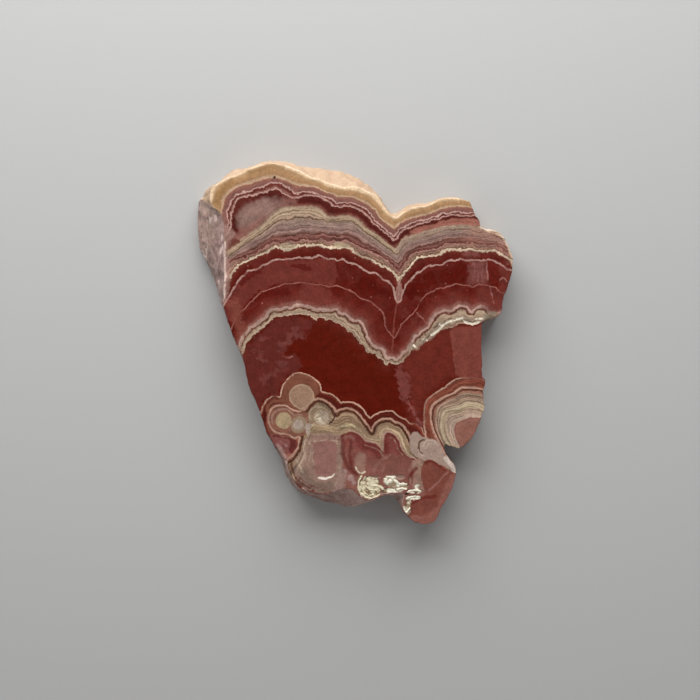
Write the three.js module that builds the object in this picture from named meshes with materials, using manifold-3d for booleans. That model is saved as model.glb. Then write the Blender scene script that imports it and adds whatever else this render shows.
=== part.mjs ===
// A slice of banded rhodochrosite, sawn flat on its back and polished flat on its face.
// Millimetres, +Z up. It lies on its back, with the polished face up.
// The origin is under the middle of its outline, on the plane it rests on.
import * as THREE from "three";
import { mergeVertices } from "three/addons/utils/BufferGeometryUtils.js";
import Module from "manifold-3d";

const thickness = 7.5;
const stepsPerSpan = 2;
const weldDistance = 1e-3;

// How the side leans from the face to the back: the depth below the face, as a share
// of the thickness, and the share of the lean reached there. It bulges like a worn crust.
const sideProfile = [
  { depth: 0, lean: 0 },
  { depth: 0.14, lean: 0.26 },
  { depth: 0.38, lean: 0.62 },
  { depth: 0.68, lean: 0.92 },
  { depth: 1, lean: 1 },
];

// Stations around the edge, clockwise from above: a point of the polished face's outline,
// then the point of the back's outline below it.
const crustOverLeftLobe = [
  [-24.5, 24.35, -26.2, 25.1],
  [-24.3, 25.6, -25.7, 26.1],
  [-23.7, 26.4, -24.6, 26.9],
  [-22.6, 27.2, -23.2, 27.6],
  [-21.4, 27.8, -22.1, 28.8],
  [-20, 28.3, -20.8, 29.8],
  [-18.8, 28.9, -19, 29.9],
  [-17.6, 29.5, -17.6, 30.4],
  [-15.8, 30.05, -15.9, 31.1],
  [-13.8, 30.35, -13.5, 31.35],
  [-12.2, 30.1, -11.2, 31.15],
  [-10.5, 29.5, -9.2, 30.65],
  [-8.8, 28.75, -7.2, 30.35],
  [-7.2, 27.95, -5.2, 30.1],
  [-5.8, 27.6, -3.6, 29.85],
  [-4.4, 27, -2, 29.55],
  [-3, 26.55, -0.5, 29],
  [-1.5, 26.25, 0.8, 28.35],
  [0, 26.4, 1.9, 27.65],
  [1.3, 26.1, 2.9, 26.8],
  [2.6, 25.4, 3.9, 25.9],
  [3.8, 24.9, 4.6, 24.95],
  [4.6, 23.9, 5.2, 23.9],
  [5.3, 22.7, 5.8, 22.9],
  [6.1, 21.75, 6.4, 22.4],
];

const crustOverRightLobe = [
  [6.95, 21.15, 7.1, 22.35],
  [8, 21.7, 8.1, 22.75],
  [9.1, 22.4, 9.2, 23.5],
  [10.4, 22.85, 10.5, 23.9],
  [12.2, 23.1, 12.2, 24],
  [13.8, 23.75, 13.8, 24.25],
  [15.2, 24.35, 15.2, 24.85],
  [17, 24.4, 17, 24.95],
  [18.6, 24.15, 18.7, 24.5],
  [19.8, 23.75, 19.95, 24],
];

const rightShoulder = [
  [20.1, 22.8, 20.4, 22.9],
  [20.6, 21.6, 20.9, 21.7],
  [21.3, 20.6, 21.65, 20.6],
  [21.6, 19.5, 21.8, 19.9],
  [22.6, 19.15, 22.9, 19.75],
  [23.8, 18.95, 24.1, 19.3],
  [25, 18.3, 25.3, 18.5],
  [25.8, 17.2, 26.1, 17.35],
  [26.4, 15.8, 26.75, 15.9],
  [26.95, 14.3, 27.15, 14.4],
  [27, 12.6, 27.2, 12.8],
  [26.6, 10.8, 26.85, 10.6],
  [26.1, 9, 26.3, 8.9],
  [25.5, 7.6, 25.6, 7.6],
  [25.2, 5.6, 25.35, 5.5],
  [24.7, 4.4, 24.8, 4.1],
];

const rightSide = [
  [23.2, 4, 23.2, 3.6],
  [22, 3.3, 22.1, 2.9],
  [21.75, 1, 21.85, 1],
  [21.7, -1.5, 21.9, -1.6],
  [21.8, -4, 21.95, -4.2],
  [21.8, -5.9, 22, -6],
  [22.4, -6.75, 22.55, -6.9],
  [22, -8.2, 22.2, -8.3],
  [22.1, -10, 22.35, -10.2],
  [22.3, -11.1, 22.45, -11.2],
  [21.8, -12.6, 22, -12.7],
  [21.2, -14.3, 21.45, -14.4],
  [20.4, -15.9, 20.6, -16.1],
  [19.3, -17.3, 19.5, -17.5],
  [17.9, -18.1, 18.1, -18.35],
  [16.7, -17.8, 16.7, -18.1],
  [15.5, -17.6, 15.7, -17.9],
];

const bottomBlock = [
  [15.5, -18.7, 15.75, -18.8],
  [16.2, -19.95, 16.4, -19.8],
  [17, -21, 17.2, -20.9],
  [17.4, -22.2, 17.6, -22.3],
  [17, -24, 17.2, -24.1],
  [16.1, -26.2, 16.3, -26.4],
  [14.9, -28.3, 15.1, -28.5],
  [13.6, -30.6, 13.7, -30.9],
  [12, -31.05, 12, -31.35],
  [10.3, -30.6, 10.2, -30.95],
  [9.2, -29.6, 9, -29.8],
  [8.3, -28.5, 8.2, -28.6],
  [8.4, -27.2, 7.4, -27.5],
  [8.6, -26, 6.8, -26.9],
];

const brokenBottomEdge = [
  [7, -25.8, 5.6, -26.6],
  [5.2, -26.1, 4.4, -26.8],
  [3.6, -26.8, 3.4, -27.4],
  [2.2, -27, 1.8, -28],
  [0.8, -26.1, 0.2, -28.7],
  [-0.4, -25.1, -1.6, -28.6],
  [-2.2, -25.2, -3.2, -28.1],
  [-4, -25.9, -4.8, -27.9],
  [-6, -25.9, -6.4, -27.1],
  [-8, -25.4, -8.4, -26.5],
  [-9.5, -24.6, -9.9, -25.6],
  [-10.6, -23, -11.2, -24],
  [-11.3, -21.2, -12, -22.3],
  [-11.9, -19.6, -12.6, -20.4],
];

const leftSide = [
  [-13.2, -18, -13.6, -18.4],
  [-14.7, -15.5, -15, -15.7],
  [-15.6, -13, -15.8, -13],
  [-16.4, -10.8, -16.7, -10.8],
  [-17.7, -7.8, -17.9, -7.9],
  [-18.4, -5, -18.6, -5],
  [-18.6, -3.7, -18.9, -3.6],
  [-19.4, -1.4, -19.8, -1.4],
  [-20.6, 1.2, -20.9, 1.2],
  [-21.5, 3.9, -21.8, 3.8],
  [-22.1, 6.1, -22.7, 6.3],
];

const brokenLeftFace = [
  [-22.1, 8.5, -23.5, 8.6],
  [-22, 11, -24.2, 10.9],
  [-22, 13.5, -25.4, 13.4],
  [-21.9, 16, -26.7, 16.2],
  [-22, 18.5, -27.1, 18.6],
  [-22.2, 20.6, -27.2, 21],
  [-23, 22.1, -27.1, 23],
  [-24, 23, -26.9, 24.6],
];

const edgeStations = [
  ...crustOverLeftLobe,
  ...crustOverRightLobe,
  ...rightShoulder,
  ...rightSide,
  ...bottomBlock,
  ...brokenBottomEdge,
  ...leftSide,
  ...brokenLeftFace,
];

// Open pockets near the bottom edge, each an ellipsoid sunk into the face.
const pockets = [
  { x: 2.9, y: -24.6, across: 1.9, along: 1.7, deep: 1.4 },
  { x: 6.9, y: -25.4, across: 2.1, along: 0.9, deep: 2.2 },
  { x: 9.6, y: -27.2, across: 0.9, along: 1, deep: 1.6 },
];

// Knobs of late crystal crust that stand in and beside the pockets, just under the face.
const knobs = [
  { x: 2.6, y: -24.5, radius: 0.9 },
  { x: 6.1, y: -24.6, radius: 0.8 },
  { x: 7.9, y: -24.9, radius: 0.8 },
  { x: 9.3, y: -26.6, radius: 0.7 },
];
const knobDrop = 0.25;

const stoneColour = 0x6e2018;

function smoothLoop(points) {
  const loop = new THREE.CatmullRomCurve3(points, true, "centripetal");
  const count = points.length * stepsPerSpan;
  return Array.from({ length: count }, (_, i) => loop.getPoint(i / count));
}

// One closed ring of the side for each step of the profile, face first.
function sideRings(stations) {
  const anticlockwise = [...stations].reverse();
  const face = smoothLoop(anticlockwise.map(([x, y]) => new THREE.Vector3(x, y, 0)));
  const back = smoothLoop(anticlockwise.map(([, , x, y]) => new THREE.Vector3(x, y, 0)));
  return sideProfile.map(({ depth, lean }) =>
    face.map((point, i) => {
      const onRing = point.clone().lerp(back[i], lean);
      onRing.z = thickness * (1 - depth);
      return onRing;
    }),
  );
}

function capTriangles(ring, firstVertex, facesUp) {
  const outline = ring.map(({ x, y }) => new THREE.Vector2(x, y));
  const triangles = THREE.ShapeUtils.triangulateShape(outline, []);
  return triangles.flatMap(([a, b, c]) =>
    (facesUp ? [a, b, c] : [a, c, b]).map((v) => v + firstVertex),
  );
}

// The plain slab: the polished face, the leaning side and the sawn back, as one closed mesh.
function slabGeometry() {
  const rings = sideRings(edgeStations);
  const count = rings[0].length;
  const positions = rings.flat().flatMap(({ x, y, z }) => [x, y, z]);
  const triangles = [];
  for (let ring = 0; ring < rings.length - 1; ring++) {
    for (let i = 0; i < count; i++) {
      const next = (i + 1) % count;
      const above = ring * count;
      const below = above + count;
      triangles.push(above + i, below + i, below + next);
      triangles.push(above + i, below + next, above + next);
    }
  }
  const lastRing = rings.length - 1;
  triangles.push(...capTriangles(rings[0], 0, true));
  triangles.push(...capTriangles(rings[lastRing], lastRing * count, false));
  return new THREE.BufferGeometry()
    .setAttribute("position", new THREE.Float32BufferAttribute(positions, 3))
    .setIndex(triangles);
}

function pocketGeometry({ x, y, across, along, deep }) {
  return new THREE.SphereGeometry(1, 16, 10)
    .scale(across, along, deep)
    .translate(x, y, thickness);
}

function knobGeometry({ x, y, radius }) {
  return new THREE.SphereGeometry(radius, 12, 8)
    .translate(x, y, thickness - knobDrop - radius);
}

const wasm = await Module();
wasm.setup();

function solidFrom(geometry) {
  const positionsOnly = geometry.clone();
  positionsOnly.deleteAttribute("normal");
  positionsOnly.deleteAttribute("uv");
  const welded = mergeVertices(positionsOnly, weldDistance);
  return new wasm.Manifold(
    new wasm.Mesh({
      numProp: 3,
      vertProperties: welded.attributes.position.array,
      triVerts: new Uint32Array(welded.index.array),
    }),
  );
}

function geometryFrom(solid) {
  const { vertProperties, triVerts } = solid.getMesh();
  const geometry = new THREE.BufferGeometry()
    .setAttribute("position", new THREE.BufferAttribute(vertProperties, 3))
    .setIndex(new THREE.BufferAttribute(triVerts, 1));
  geometry.computeVertexNormals();
  return geometry;
}

// Sets the geometry over the origin, with its box's middle at x = y = 0 and its foot at z = 0.
function centreOnBack(geometry) {
  geometry.computeBoundingBox();
  const middle = geometry.boundingBox.getCenter(new THREE.Vector3());
  return geometry.translate(-middle.x, -middle.y, -geometry.boundingBox.min.z);
}

function rhodochrositeSlice() {
  let solid = solidFrom(slabGeometry());
  for (const pocket of pockets) solid = solid.subtract(solidFrom(pocketGeometry(pocket)));
  for (const knob of knobs) solid = solid.add(solidFrom(knobGeometry(knob)));
  const material = new THREE.MeshStandardMaterial({
    color: stoneColour,
    roughness: 0.3,
    metalness: 0,
  });
  const slice = new THREE.Mesh(centreOnBack(geometryFrom(solid)), material);
  slice.name = "rhodochrosite_slice";
  return slice;
}

const part = new THREE.Group();
part.add(rhodochrositeSlice());

export default part;
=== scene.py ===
import math

import bpy
import numpy as np
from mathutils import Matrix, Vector, noise
from mathutils.geometry import delaunay_2d_cdt


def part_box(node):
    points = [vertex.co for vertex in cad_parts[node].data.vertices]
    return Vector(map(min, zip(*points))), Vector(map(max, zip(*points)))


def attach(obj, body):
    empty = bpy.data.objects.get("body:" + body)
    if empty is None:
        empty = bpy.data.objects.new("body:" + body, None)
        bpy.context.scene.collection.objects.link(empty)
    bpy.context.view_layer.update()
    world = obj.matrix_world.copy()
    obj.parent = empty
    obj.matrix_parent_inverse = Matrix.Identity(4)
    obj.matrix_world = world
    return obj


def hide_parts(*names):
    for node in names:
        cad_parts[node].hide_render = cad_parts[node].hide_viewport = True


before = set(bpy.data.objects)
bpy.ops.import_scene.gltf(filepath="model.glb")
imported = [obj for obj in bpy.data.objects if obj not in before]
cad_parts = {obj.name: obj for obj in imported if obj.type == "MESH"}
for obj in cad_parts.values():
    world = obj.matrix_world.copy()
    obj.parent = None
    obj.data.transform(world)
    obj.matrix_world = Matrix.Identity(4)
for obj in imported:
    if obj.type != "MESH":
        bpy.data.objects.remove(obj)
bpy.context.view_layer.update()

mm = 0.001
sliceNode = "rhodochrosite_slice"
nodeLow, nodeHigh = (np.array(corner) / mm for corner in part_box(sliceNode))
thickness = nodeHigh[2]

# what a user would change about the slice: lengths in mm, colours 0-255 as the eye sees them
sliceStone = {
    "faceSpacing": 0.21,  # how finely each part is meshed
    "crystalSpacing": 0.14,
    "backSpacing": 0.55,
    "stepsPerStation": 6,
    "sideRows": 22,
    "sharpAngle": 42,  # degrees
    "chamfer": 0.07,
    "sideDepths": (0, 0.14, 0.38, 0.68, 1),  # how the side leans from the face out to the back
    "sideLeans": (0, 0.26, 0.62, 0.92, 1),
    "sideRelief": {
        "crust": {"knobSize": 1.9, "knobHeight": 0.42, "roughSize": 0.7, "roughHeight": 0.1},
        "fracture": {"knobSize": 2.2, "knobHeight": 0.2, "roughSize": 0.6, "roughHeight": 0.14},
        "weathered": {"knobSize": 1.1, "knobHeight": 0.32, "roughSize": 0.4, "roughHeight": 0.22},
        "rind": {"knobSize": 1.5, "knobHeight": 0.5, "roughSize": 0.55, "roughHeight": 0.3},
    },
    "rimChip": {"size": 0.8, "depth": 0.12},  # small chips that break the two rims' lines
    "backChip": {"size": 1.2, "depth": 0.08},
    "crystal": {
        "knobSize": 0.75, "knobDrop": 0.16, "rimDrop": 0.08, "roughSize": 0.3, "roughHeight": 0.07,
        "ridgeRise": 0.02, "ridgeDrop": 0.2, "wobbleSize": 0.7, "wobble": 0.5,
    },
    "bandWaver": {"size": 0.9, "height": 0.12},
    "bandDrift": (0.5, -0.35),  # how far the bands have moved on their way down to the back
    "bandCrinkle": 0.17,  # how far the bands wander from their fronts, and how many fine lines cross a gap
    "bandLines": 7.0,
    "roundCrinkle": 0.06,  # the same for the round growths
    "roundLines": 9.0,
    "speckCover": 0.6,
    "faceBands": {
        "Line Strength": 0.34, "Fibre Strength": 0.12, "Cloud Strength": 0.5, "Grain Strength": 0.5,
    },
    "edgeBands": {
        "Line Strength": 0.14, "Fibre Strength": 0.2, "Cloud Strength": 0.25, "Mark Strength": 0.8,
    },
    "backBands": {
        "Line Strength": 0.12, "Fibre Strength": 0.08, "Cloud Strength": 0.2, "Mark Strength": 0.5,
    },
    "bandGrain": {"Cloud Size": 1.5, "Grain Size": 0.34},  # then the surfaces' own fine grain
    "crystalGrain": {"Cloud Size": 0.5, "Grain Size": 0.16},
    "crustGrain": {"Cloud Size": 1.6, "Grain Size": 0.22},
    "edgeGrain": {"Cloud Size": 1.1, "Grain Size": 0.25},
    "backGrain": {"Cloud Size": 1.5, "Grain Size": 0.2},
    "bumpHeight": {"crystal": 0.08, "crust": 0.12, "edge": 0.15, "back": 0.04},
    "bumpStrength": {"crystal": 0.8, "crust": 0.7, "edge": 0.8, "back": 0.6},
    "roughness": {"polish": 0.2, "crystal": 0.55, "crust": 0.75, "edge": 0.5, "back": 0.62},
    "crystalColour": (232, 224, 204),
    "crystalCream": (212, 200, 170),
    # crystalShade is painted shade for the creases between the crystal knobs, and partly their own
    # olive-brown
    "crystalShade": (150, 128, 100),
    # pocketShade is painted shade inside the open pockets, which are also real hollows in the mesh
    "pocketShade": (142, 110, 94),
    "crustColour": (192, 163, 135),
    "crustPale": (200, 177, 149),
    "crustPeach": (184, 148, 120),
    "rindPale": (198, 168, 158),
    "rindDark": (94, 64, 60),
    "rindFlash": (222, 200, 192),
    "seamColour": (98, 50, 42),
    # the weathered side's own pinkish colours, made lighter with painted light because this side faces away
    # from the top window
    "weatheredPaleWithPaintedLight": (218, 186, 174),
    "weatheredDarkWithPaintedLight": (160, 122, 112),
    "milkColour": (106, 48, 41),
    "speckColour": (156, 102, 92),
    "backDust": (176, 150, 140),
}

# a seed for each pattern, so that they don't follow each other
seeds = {
    "rimChip": 2, "backChip": 7, "sideKnob": 5, "sideRough": 11, "crystalEdge": 21, "crystalRough": 31,
    "crystalKnob": 61, "waver": (41, 53),
}

# stations clockwise round the edge: a point of the face's outline, then the back's point below it
edgeRuns = [
    ("crust", [
        (-24.5, 24.35, -26.2, 25.1), (-24.3, 25.6, -25.7, 26.1), (-23.7, 26.4, -24.6, 26.9),
        (-22.6, 27.2, -23.2, 27.6), (-21.4, 27.8, -22.1, 28.8), (-20, 28.3, -20.8, 29.8),
        (-18.8, 28.9, -19, 29.9), (-17.6, 29.5, -17.6, 30.4), (-15.8, 30.05, -15.9, 31.1),
        (-13.8, 30.35, -13.5, 31.35), (-12.2, 30.1, -11.2, 31.15), (-10.5, 29.5, -9.2, 30.65),
        (-8.8, 28.75, -7.2, 30.35), (-7.2, 27.95, -5.2, 30.1), (-5.8, 27.6, -3.6, 29.85),
        (-4.4, 27, -2, 29.55), (-3, 26.55, -0.5, 29), (-1.5, 26.25, 0.8, 28.35), (0, 26.4, 1.9, 27.65),
        (1.3, 26.1, 2.9, 26.8), (2.6, 25.4, 3.9, 25.9), (3.8, 24.9, 4.6, 24.95), (4.6, 23.9, 5.2, 23.9),
        (5.3, 22.7, 5.8, 22.9), (6.1, 21.75, 6.4, 22.4), (6.95, 21.15, 7.1, 22.35), (8, 21.7, 8.1, 22.75),
        (9.1, 22.4, 9.2, 23.5), (10.4, 22.85, 10.5, 23.9), (12.2, 23.1, 12.2, 24),
        (13.8, 23.75, 13.8, 24.25), (15.2, 24.35, 15.2, 24.85), (17, 24.4, 17, 24.95),
        (18.6, 24.15, 18.7, 24.5), (19.8, 23.75, 19.95, 24),
    ]),
    ("fracture", [
        (20.1, 22.8, 20.4, 22.9), (20.6, 21.6, 20.9, 21.7), (21.3, 20.6, 21.65, 20.6),
    ]),
    ("crust", [
        (21.6, 19.5, 21.8, 19.9), (22.6, 19.15, 22.9, 19.75), (23.8, 18.95, 24.1, 19.3),
        (25, 18.3, 25.3, 18.5),
    ]),
    ("fracture", [
        (25.8, 17.2, 26.1, 17.35), (26.4, 15.8, 26.75, 15.9), (26.95, 14.3, 27.15, 14.4),
        (27, 12.6, 27.2, 12.8), (26.6, 10.8, 26.85, 10.6), (26.1, 9, 26.3, 8.9), (25.5, 7.6, 25.6, 7.6),
        (25.2, 5.6, 25.35, 5.5), (24.7, 4.4, 24.8, 4.1), (23.2, 4, 23.2, 3.6), (22, 3.3, 22.1, 2.9),
        (21.75, 1, 21.85, 1), (21.7, -1.5, 21.9, -1.6), (21.8, -4, 21.95, -4.2), (21.8, -5.9, 22, -6),
        (22.4, -6.75, 22.55, -6.9), (22, -8.2, 22.2, -8.3), (22.1, -10, 22.35, -10.2),
        (22.3, -11.1, 22.45, -11.2), (21.8, -12.6, 22, -12.7), (21.2, -14.3, 21.45, -14.4),
        (20.4, -15.9, 20.6, -16.1), (19.3, -17.3, 19.5, -17.5), (17.9, -18.1, 18.1, -18.35),
        (16.7, -17.8, 16.7, -18.1), (15.5, -17.6, 15.7, -17.9), (15.5, -18.7, 15.75, -18.8),
        (16.2, -19.95, 16.4, -19.8), (17, -21, 17.2, -20.9), (17.4, -22.2, 17.6, -22.3),
        (17, -24, 17.2, -24.1), (16.1, -26.2, 16.3, -26.4), (14.9, -28.3, 15.1, -28.5),
        (13.6, -30.6, 13.7, -30.9), (12, -31.05, 12, -31.35), (10.3, -30.6, 10.2, -30.95),
        (9.2, -29.6, 9, -29.8), (8.3, -28.5, 8.2, -28.6),
    ]),
    ("weathered", [
        (8.4, -27.2, 7.4, -27.5), (8.6, -26, 6.8, -26.9), (7, -25.8, 5.6, -26.6),
        (5.2, -26.1, 4.4, -26.8), (3.6, -26.8, 3.4, -27.4), (2.2, -27, 1.8, -28),
        (0.8, -26.1, 0.2, -28.7), (-0.4, -25.1, -1.6, -28.6), (-2.2, -25.2, -3.2, -28.1),
        (-4, -25.9, -4.8, -27.9), (-6, -25.9, -6.4, -27.1), (-8, -25.4, -8.4, -26.5),
        (-9.5, -24.6, -9.9, -25.6), (-10.6, -23, -11.2, -24), (-11.3, -21.2, -12, -22.3),
    ]),
    ("fracture", [
        (-11.9, -19.6, -12.6, -20.4), (-13.2, -18, -13.6, -18.4), (-14.7, -15.5, -15, -15.7),
        (-15.6, -13, -15.8, -13), (-16.4, -10.8, -16.7, -10.8), (-17.7, -7.8, -17.9, -7.9),
        (-18.4, -5, -18.6, -5), (-18.6, -3.7, -18.9, -3.6), (-19.4, -1.4, -19.8, -1.4),
        (-20.6, 1.2, -20.9, 1.2), (-21.5, 3.9, -21.8, 3.8), (-22.1, 6.1, -22.7, 6.3),
    ]),
    ("rind", [
        (-22.1, 8.5, -23.5, 8.6), (-22, 11, -24.2, 10.9), (-22, 13.5, -25.4, 13.4),
        (-21.9, 16, -26.7, 16.2), (-22, 18.5, -27.1, 18.6), (-22.2, 20.6, -27.2, 21),
        (-23, 22.1, -27.1, 23), (-24, 23, -26.9, 24.6),
    ]),
]


def smoothLine(points, steps, closed=False):
    # centripetal Catmull-Rom, so it keeps to the points without overshooting at tight turns
    points = np.asarray(points, float)
    if closed:
        before, start, end, after = (np.roll(points, shift, axis=0) for shift in (1, 0, -1, -2))
    else:
        padded = np.vstack((2 * points[0] - points[1], points, 2 * points[-1] - points[-2]))
        before, start, end, after = padded[:-3], padded[1:-2], padded[2:-1], padded[3:]
    gapIn, gap, gapOut = (
        np.maximum(np.sqrt(np.linalg.norm(b - a, axis=1, keepdims=True)), 1e-4)
        for a, b in ((before, start), (start, end), (end, after))
    )
    leave = (start - before) / gapIn - (end - before) / (gapIn + gap) + (end - start) / gap
    arrive = (end - start) / gap - (after - start) / (gap + gapOut) + (after - end) / gapOut
    leave, arrive = leave * gap, arrive * gap
    t = np.linspace(0, 1, steps, endpoint=False)[None, :, None]
    start, end, leave, arrive = (a[:, None, :] for a in (start, end, leave, arrive))
    cubic = 2 * start - 2 * end + leave + arrive
    square = -3 * start + 3 * end - 2 * leave - arrive
    line = (start + t * (leave + t * (square + t * cubic))).reshape(-1, points.shape[1])
    return line if closed else np.vstack((line, points[-1]))


batch = 4000  # places measured at a time, to spare memory


def insideOf(polygon, places):
    # even-odd rule
    a, b = polygon, np.roll(polygon, -1, axis=0)
    rise = np.where(b[:, 1] == a[:, 1], 1e-9, b[:, 1] - a[:, 1])
    inside = np.zeros(len(places), bool)
    for first in range(0, len(places), batch):
        x, y = places[first:first + batch, :1], places[first:first + batch, 1:2]
        spans = (a[:, 1] > y) != (b[:, 1] > y)
        crossing = a[:, 0] + (y - a[:, 1]) * (b[:, 0] - a[:, 0]) / rise
        inside[first:first + batch] = (spans & (x < crossing)).sum(axis=1) % 2 == 1
    return inside


def distanceTo(line, places, closed=False):
    # distance to the line and how far along it the nearest point is, both in mm
    a = line if closed else line[:-1]
    b = np.roll(line, -1, axis=0) if closed else line[1:]
    step = (b - a).astype(np.float32)
    lengths = np.linalg.norm(step, axis=1)
    along = np.concatenate(([0], np.cumsum(lengths)[:-1])).astype(np.float32)
    square = np.maximum(lengths ** 2, 1e-9).astype(np.float32)
    a = a.astype(np.float32)
    distance = np.empty(len(places), np.float32)
    reached = np.empty(len(places), np.float32)
    for first in range(0, len(places), batch):
        some = places[first:first + batch].astype(np.float32)
        dx, dy = some[:, :1] - a[:, 0], some[:, 1:2] - a[:, 1]
        share = np.clip((dx * step[:, 0] + dy * step[:, 1]) / square, 0, 1)
        dx -= share * step[:, 0]
        dy -= share * step[:, 1]
        squares = dx * dx + dy * dy
        nearest = squares.argmin(axis=1)
        rows = np.arange(len(some))
        distance[first:first + batch] = np.sqrt(squares[rows, nearest])
        reached[first:first + batch] = along[nearest] + share[rows, nearest] * lengths[nearest]
    return distance, reached


def signedDistance(line, places, closing=None):
    # positive inside a closed line, or on the side of an open one that the closing points enclose
    distance, reached = distanceTo(line, places, closed=closing is None)
    inside = insideOf(line if closing is None else np.vstack((line, closing)), places)
    return np.where(inside, distance, -distance), reached


# outlines of the face and the back, anticlockwise, set over the CAD node's own middle
stations = np.array([station for kind, run in edgeRuns for station in run])[::-1]
kinds = [kind for kind, run in edgeRuns for station in run][::-1]
steps = sliceStone["stepsPerStation"]
faceLoop = smoothLine(stations[:, :2], steps, closed=True)
backLoop = smoothLine(stations[:, 2:], steps, closed=True)
allEdge = np.vstack((faceLoop, backLoop))
recentre = (nodeLow[:2] + nodeHigh[:2]) / 2 - (allEdge.min(axis=0) + allEdge.max(axis=0)) / 2
faceLoop = faceLoop + recentre
backLoop = backLoop + recentre
loopCount = len(faceLoop)


def kindShare(kind):
    # 1 along the runs of this kind, easing to 0 over about one station at their ends
    here = np.repeat([float(k == kind) for k in kinds], steps)
    window = np.hanning(steps + 3)
    spread = np.convolve(np.concatenate((here[-steps:], here, here[:steps])),
                         window / window.sum(), mode="same")
    return spread[steps:-steps]


kindShares = {kind: kindShare(kind) for kind in sliceStone["sideRelief"]}
tangent = np.roll(faceLoop, -2, axis=0) - np.roll(faceLoop, 2, axis=0)
tangent /= np.linalg.norm(tangent, axis=1, keepdims=True)
outward = np.stack((tangent[:, 1], -tangent[:, 0]), axis=1)
print("edge:", loopCount, "points round the outline")


def roughness3d(place, size, seed, octaves=3):
    return noise.fractal(Vector(place) / size + Vector((seed, 0, 0)), 1, 2, octaves)


def knob(place, size, seed, reach=0.75):
    # rounded swellings packed against each other, 0 in the creases and 1 on top
    near = noise.voronoi(Vector(place) / size + Vector((seed, 0, 0)))[0][0]
    return 1 - min(1, near / reach) ** 2


quietNearFace, quietNearBack = 0.24, 0.12  # shares of the depth over which the relief fades out
knobMiddle = 0.62


def sidePush(i, place, depthShare):
    # how far a point of the side is pushed out, quiet at both rims
    ease = math.sin(math.pi * min(1, depthShare / quietNearFace) / 2)
    ease *= min(1, (1 - depthShare) / quietNearBack)
    push = 0
    for kind, relief in sliceStone["sideRelief"].items():
        share = kindShares[kind][i]
        if share > 0.01:
            lump = knob(place, relief["knobSize"], seeds["sideKnob"]) - knobMiddle
            fine = roughness3d(place, relief["roughSize"], seeds["sideRough"])
            push += share * (relief["knobHeight"] * lump + relief["roughHeight"] * fine)
    return ease * push


rimChip, backChip = sliceStone["rimChip"], sliceStone["backChip"]
for i, (x, y) in enumerate(faceLoop.copy()):
    faceRough = roughness3d((x, y, 3), rimChip["size"], seeds["rimChip"])
    backRough = roughness3d((x, y, -3), backChip["size"], seeds["backChip"])
    faceLoop[i] += outward[i] * rimChip["depth"] * faceRough
    backLoop[i] -= outward[i] * backChip["depth"] * abs(backRough)

chamfer = sliceStone["chamfer"]
depthShares = np.concatenate(([0, chamfer / thickness], np.linspace(0, 1, sliceStone["sideRows"])[1:]))
leans = np.interp(depthShares, sliceStone["sideDepths"], sliceStone["sideLeans"])
sideRings = []
for row, (depthShare, lean) in enumerate(zip(depthShares, leans)):
    ring = np.empty((loopCount, 3))
    ring[:, :2] = faceLoop + (backLoop - faceLoop) * lean
    ring[:, 2] = thickness * (1 - depthShare)
    if row == 0:
        ring[:, :2] -= outward * chamfer
    elif row < len(depthShares) - 1:
        for i in range(loopCount):
            ring[i, :2] += outward[i] * sidePush(i, ring[i], depthShare)
    sideRings.append(ring)
print("side:", len(sideRings), "rings")

# open pockets: x, y, half width, half height, depth
pockets = [
    (6.6, -26, 1.1, 0.16, 0.7), (3.7, -23.1, 1, 0.32, 0.15), (2.5, -25.7, 0.6, 0.3, 0.2),
    (4.9, -25.7, 0.9, 0.3, 0.2), (9.1, -25.95, 0.4, 0.22, 0.5), (9.6, -23.6, 0.25, 0.7, 0.2),
    (7.9, -23.1, 1, 0.5, 0.2),
]
# patches of knobbly crystal crust: x, y, half width, half height, drop below the face
crystalPatches = [
    (2.7, -24.9, 2, 2, 0.08), (6.3, -23.8, 1.2, 1.05, 0), (7.9, -24.6, 1.3, 0.75, 0),
    (6.4, -25.4, 1.6, 0.5, 0.1), (10.4, -25.45, 1.3, 0.42, 0.1), (10.2, -26.5, 1.35, 0.4, 0.06),
    (9.35, -27.4, 0.42, 0.8, 0.04), (9, -28.6, 0.68, 0.85, 0.02), (10.8, -24.7, 0.5, 0.45, 0.1),
]
# raised ridges on the crust: half width and points
crystalRidges = [
    (0.17, [(1.3, -22.9), (0.8, -23.9), (0.8, -25), (1.2, -25.9), (2, -26.5), (3, -26.8), (3.8, -26.5),
     (4.4, -26)]),
    (0.12, [(1.95, -23), (1.4, -24), (1.35, -25), (1.8, -25.8), (2.6, -26.25), (3.4, -26)]),
    (0.2, [(2.6, -23.6), (2.9, -24.5), (4.1, -24.6), (5, -25.1)]),
    (0.14, [(2, -24.6), (2.6, -25.2), (4, -25.3)]),
    (0.22, [(5.6, -23), (6.4, -23.1), (7, -23.7), (7.9, -24.3), (8.9, -24.3)]),
    (0.16, [(7.4, -25.2), (8.2, -25), (8.9, -25.1)]),
    (0.14, [(9.2, -25.6), (9.8, -25.35), (10.7, -25.3), (11.4, -25.45)]),
    (0.2, [(9, -26.75), (9.6, -26.5), (10.4, -26.3), (11.2, -26.45)]),
    (0.14, [(8.5, -28.1), (8.6, -28.8), (9, -29.1), (9.5, -28.4)]),
]
crystalArea = (0.2, -29.6, 11.8, -22.4)  # left, bottom, right and top of the finely meshed part
reliefLeft, reliefRight, reliefTop = -0.5, 12.5, -21.5  # the rest of the face is flat


def ellipseShares(x, y, shapes):
    # 1 in the middle of each ellipse, 0 on its rim and under 0 outside
    return [1 - ((x - cx) / across) ** 2 - ((y - cy) / along) ** 2 for cx, cy, across, along, _ in shapes]


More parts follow.
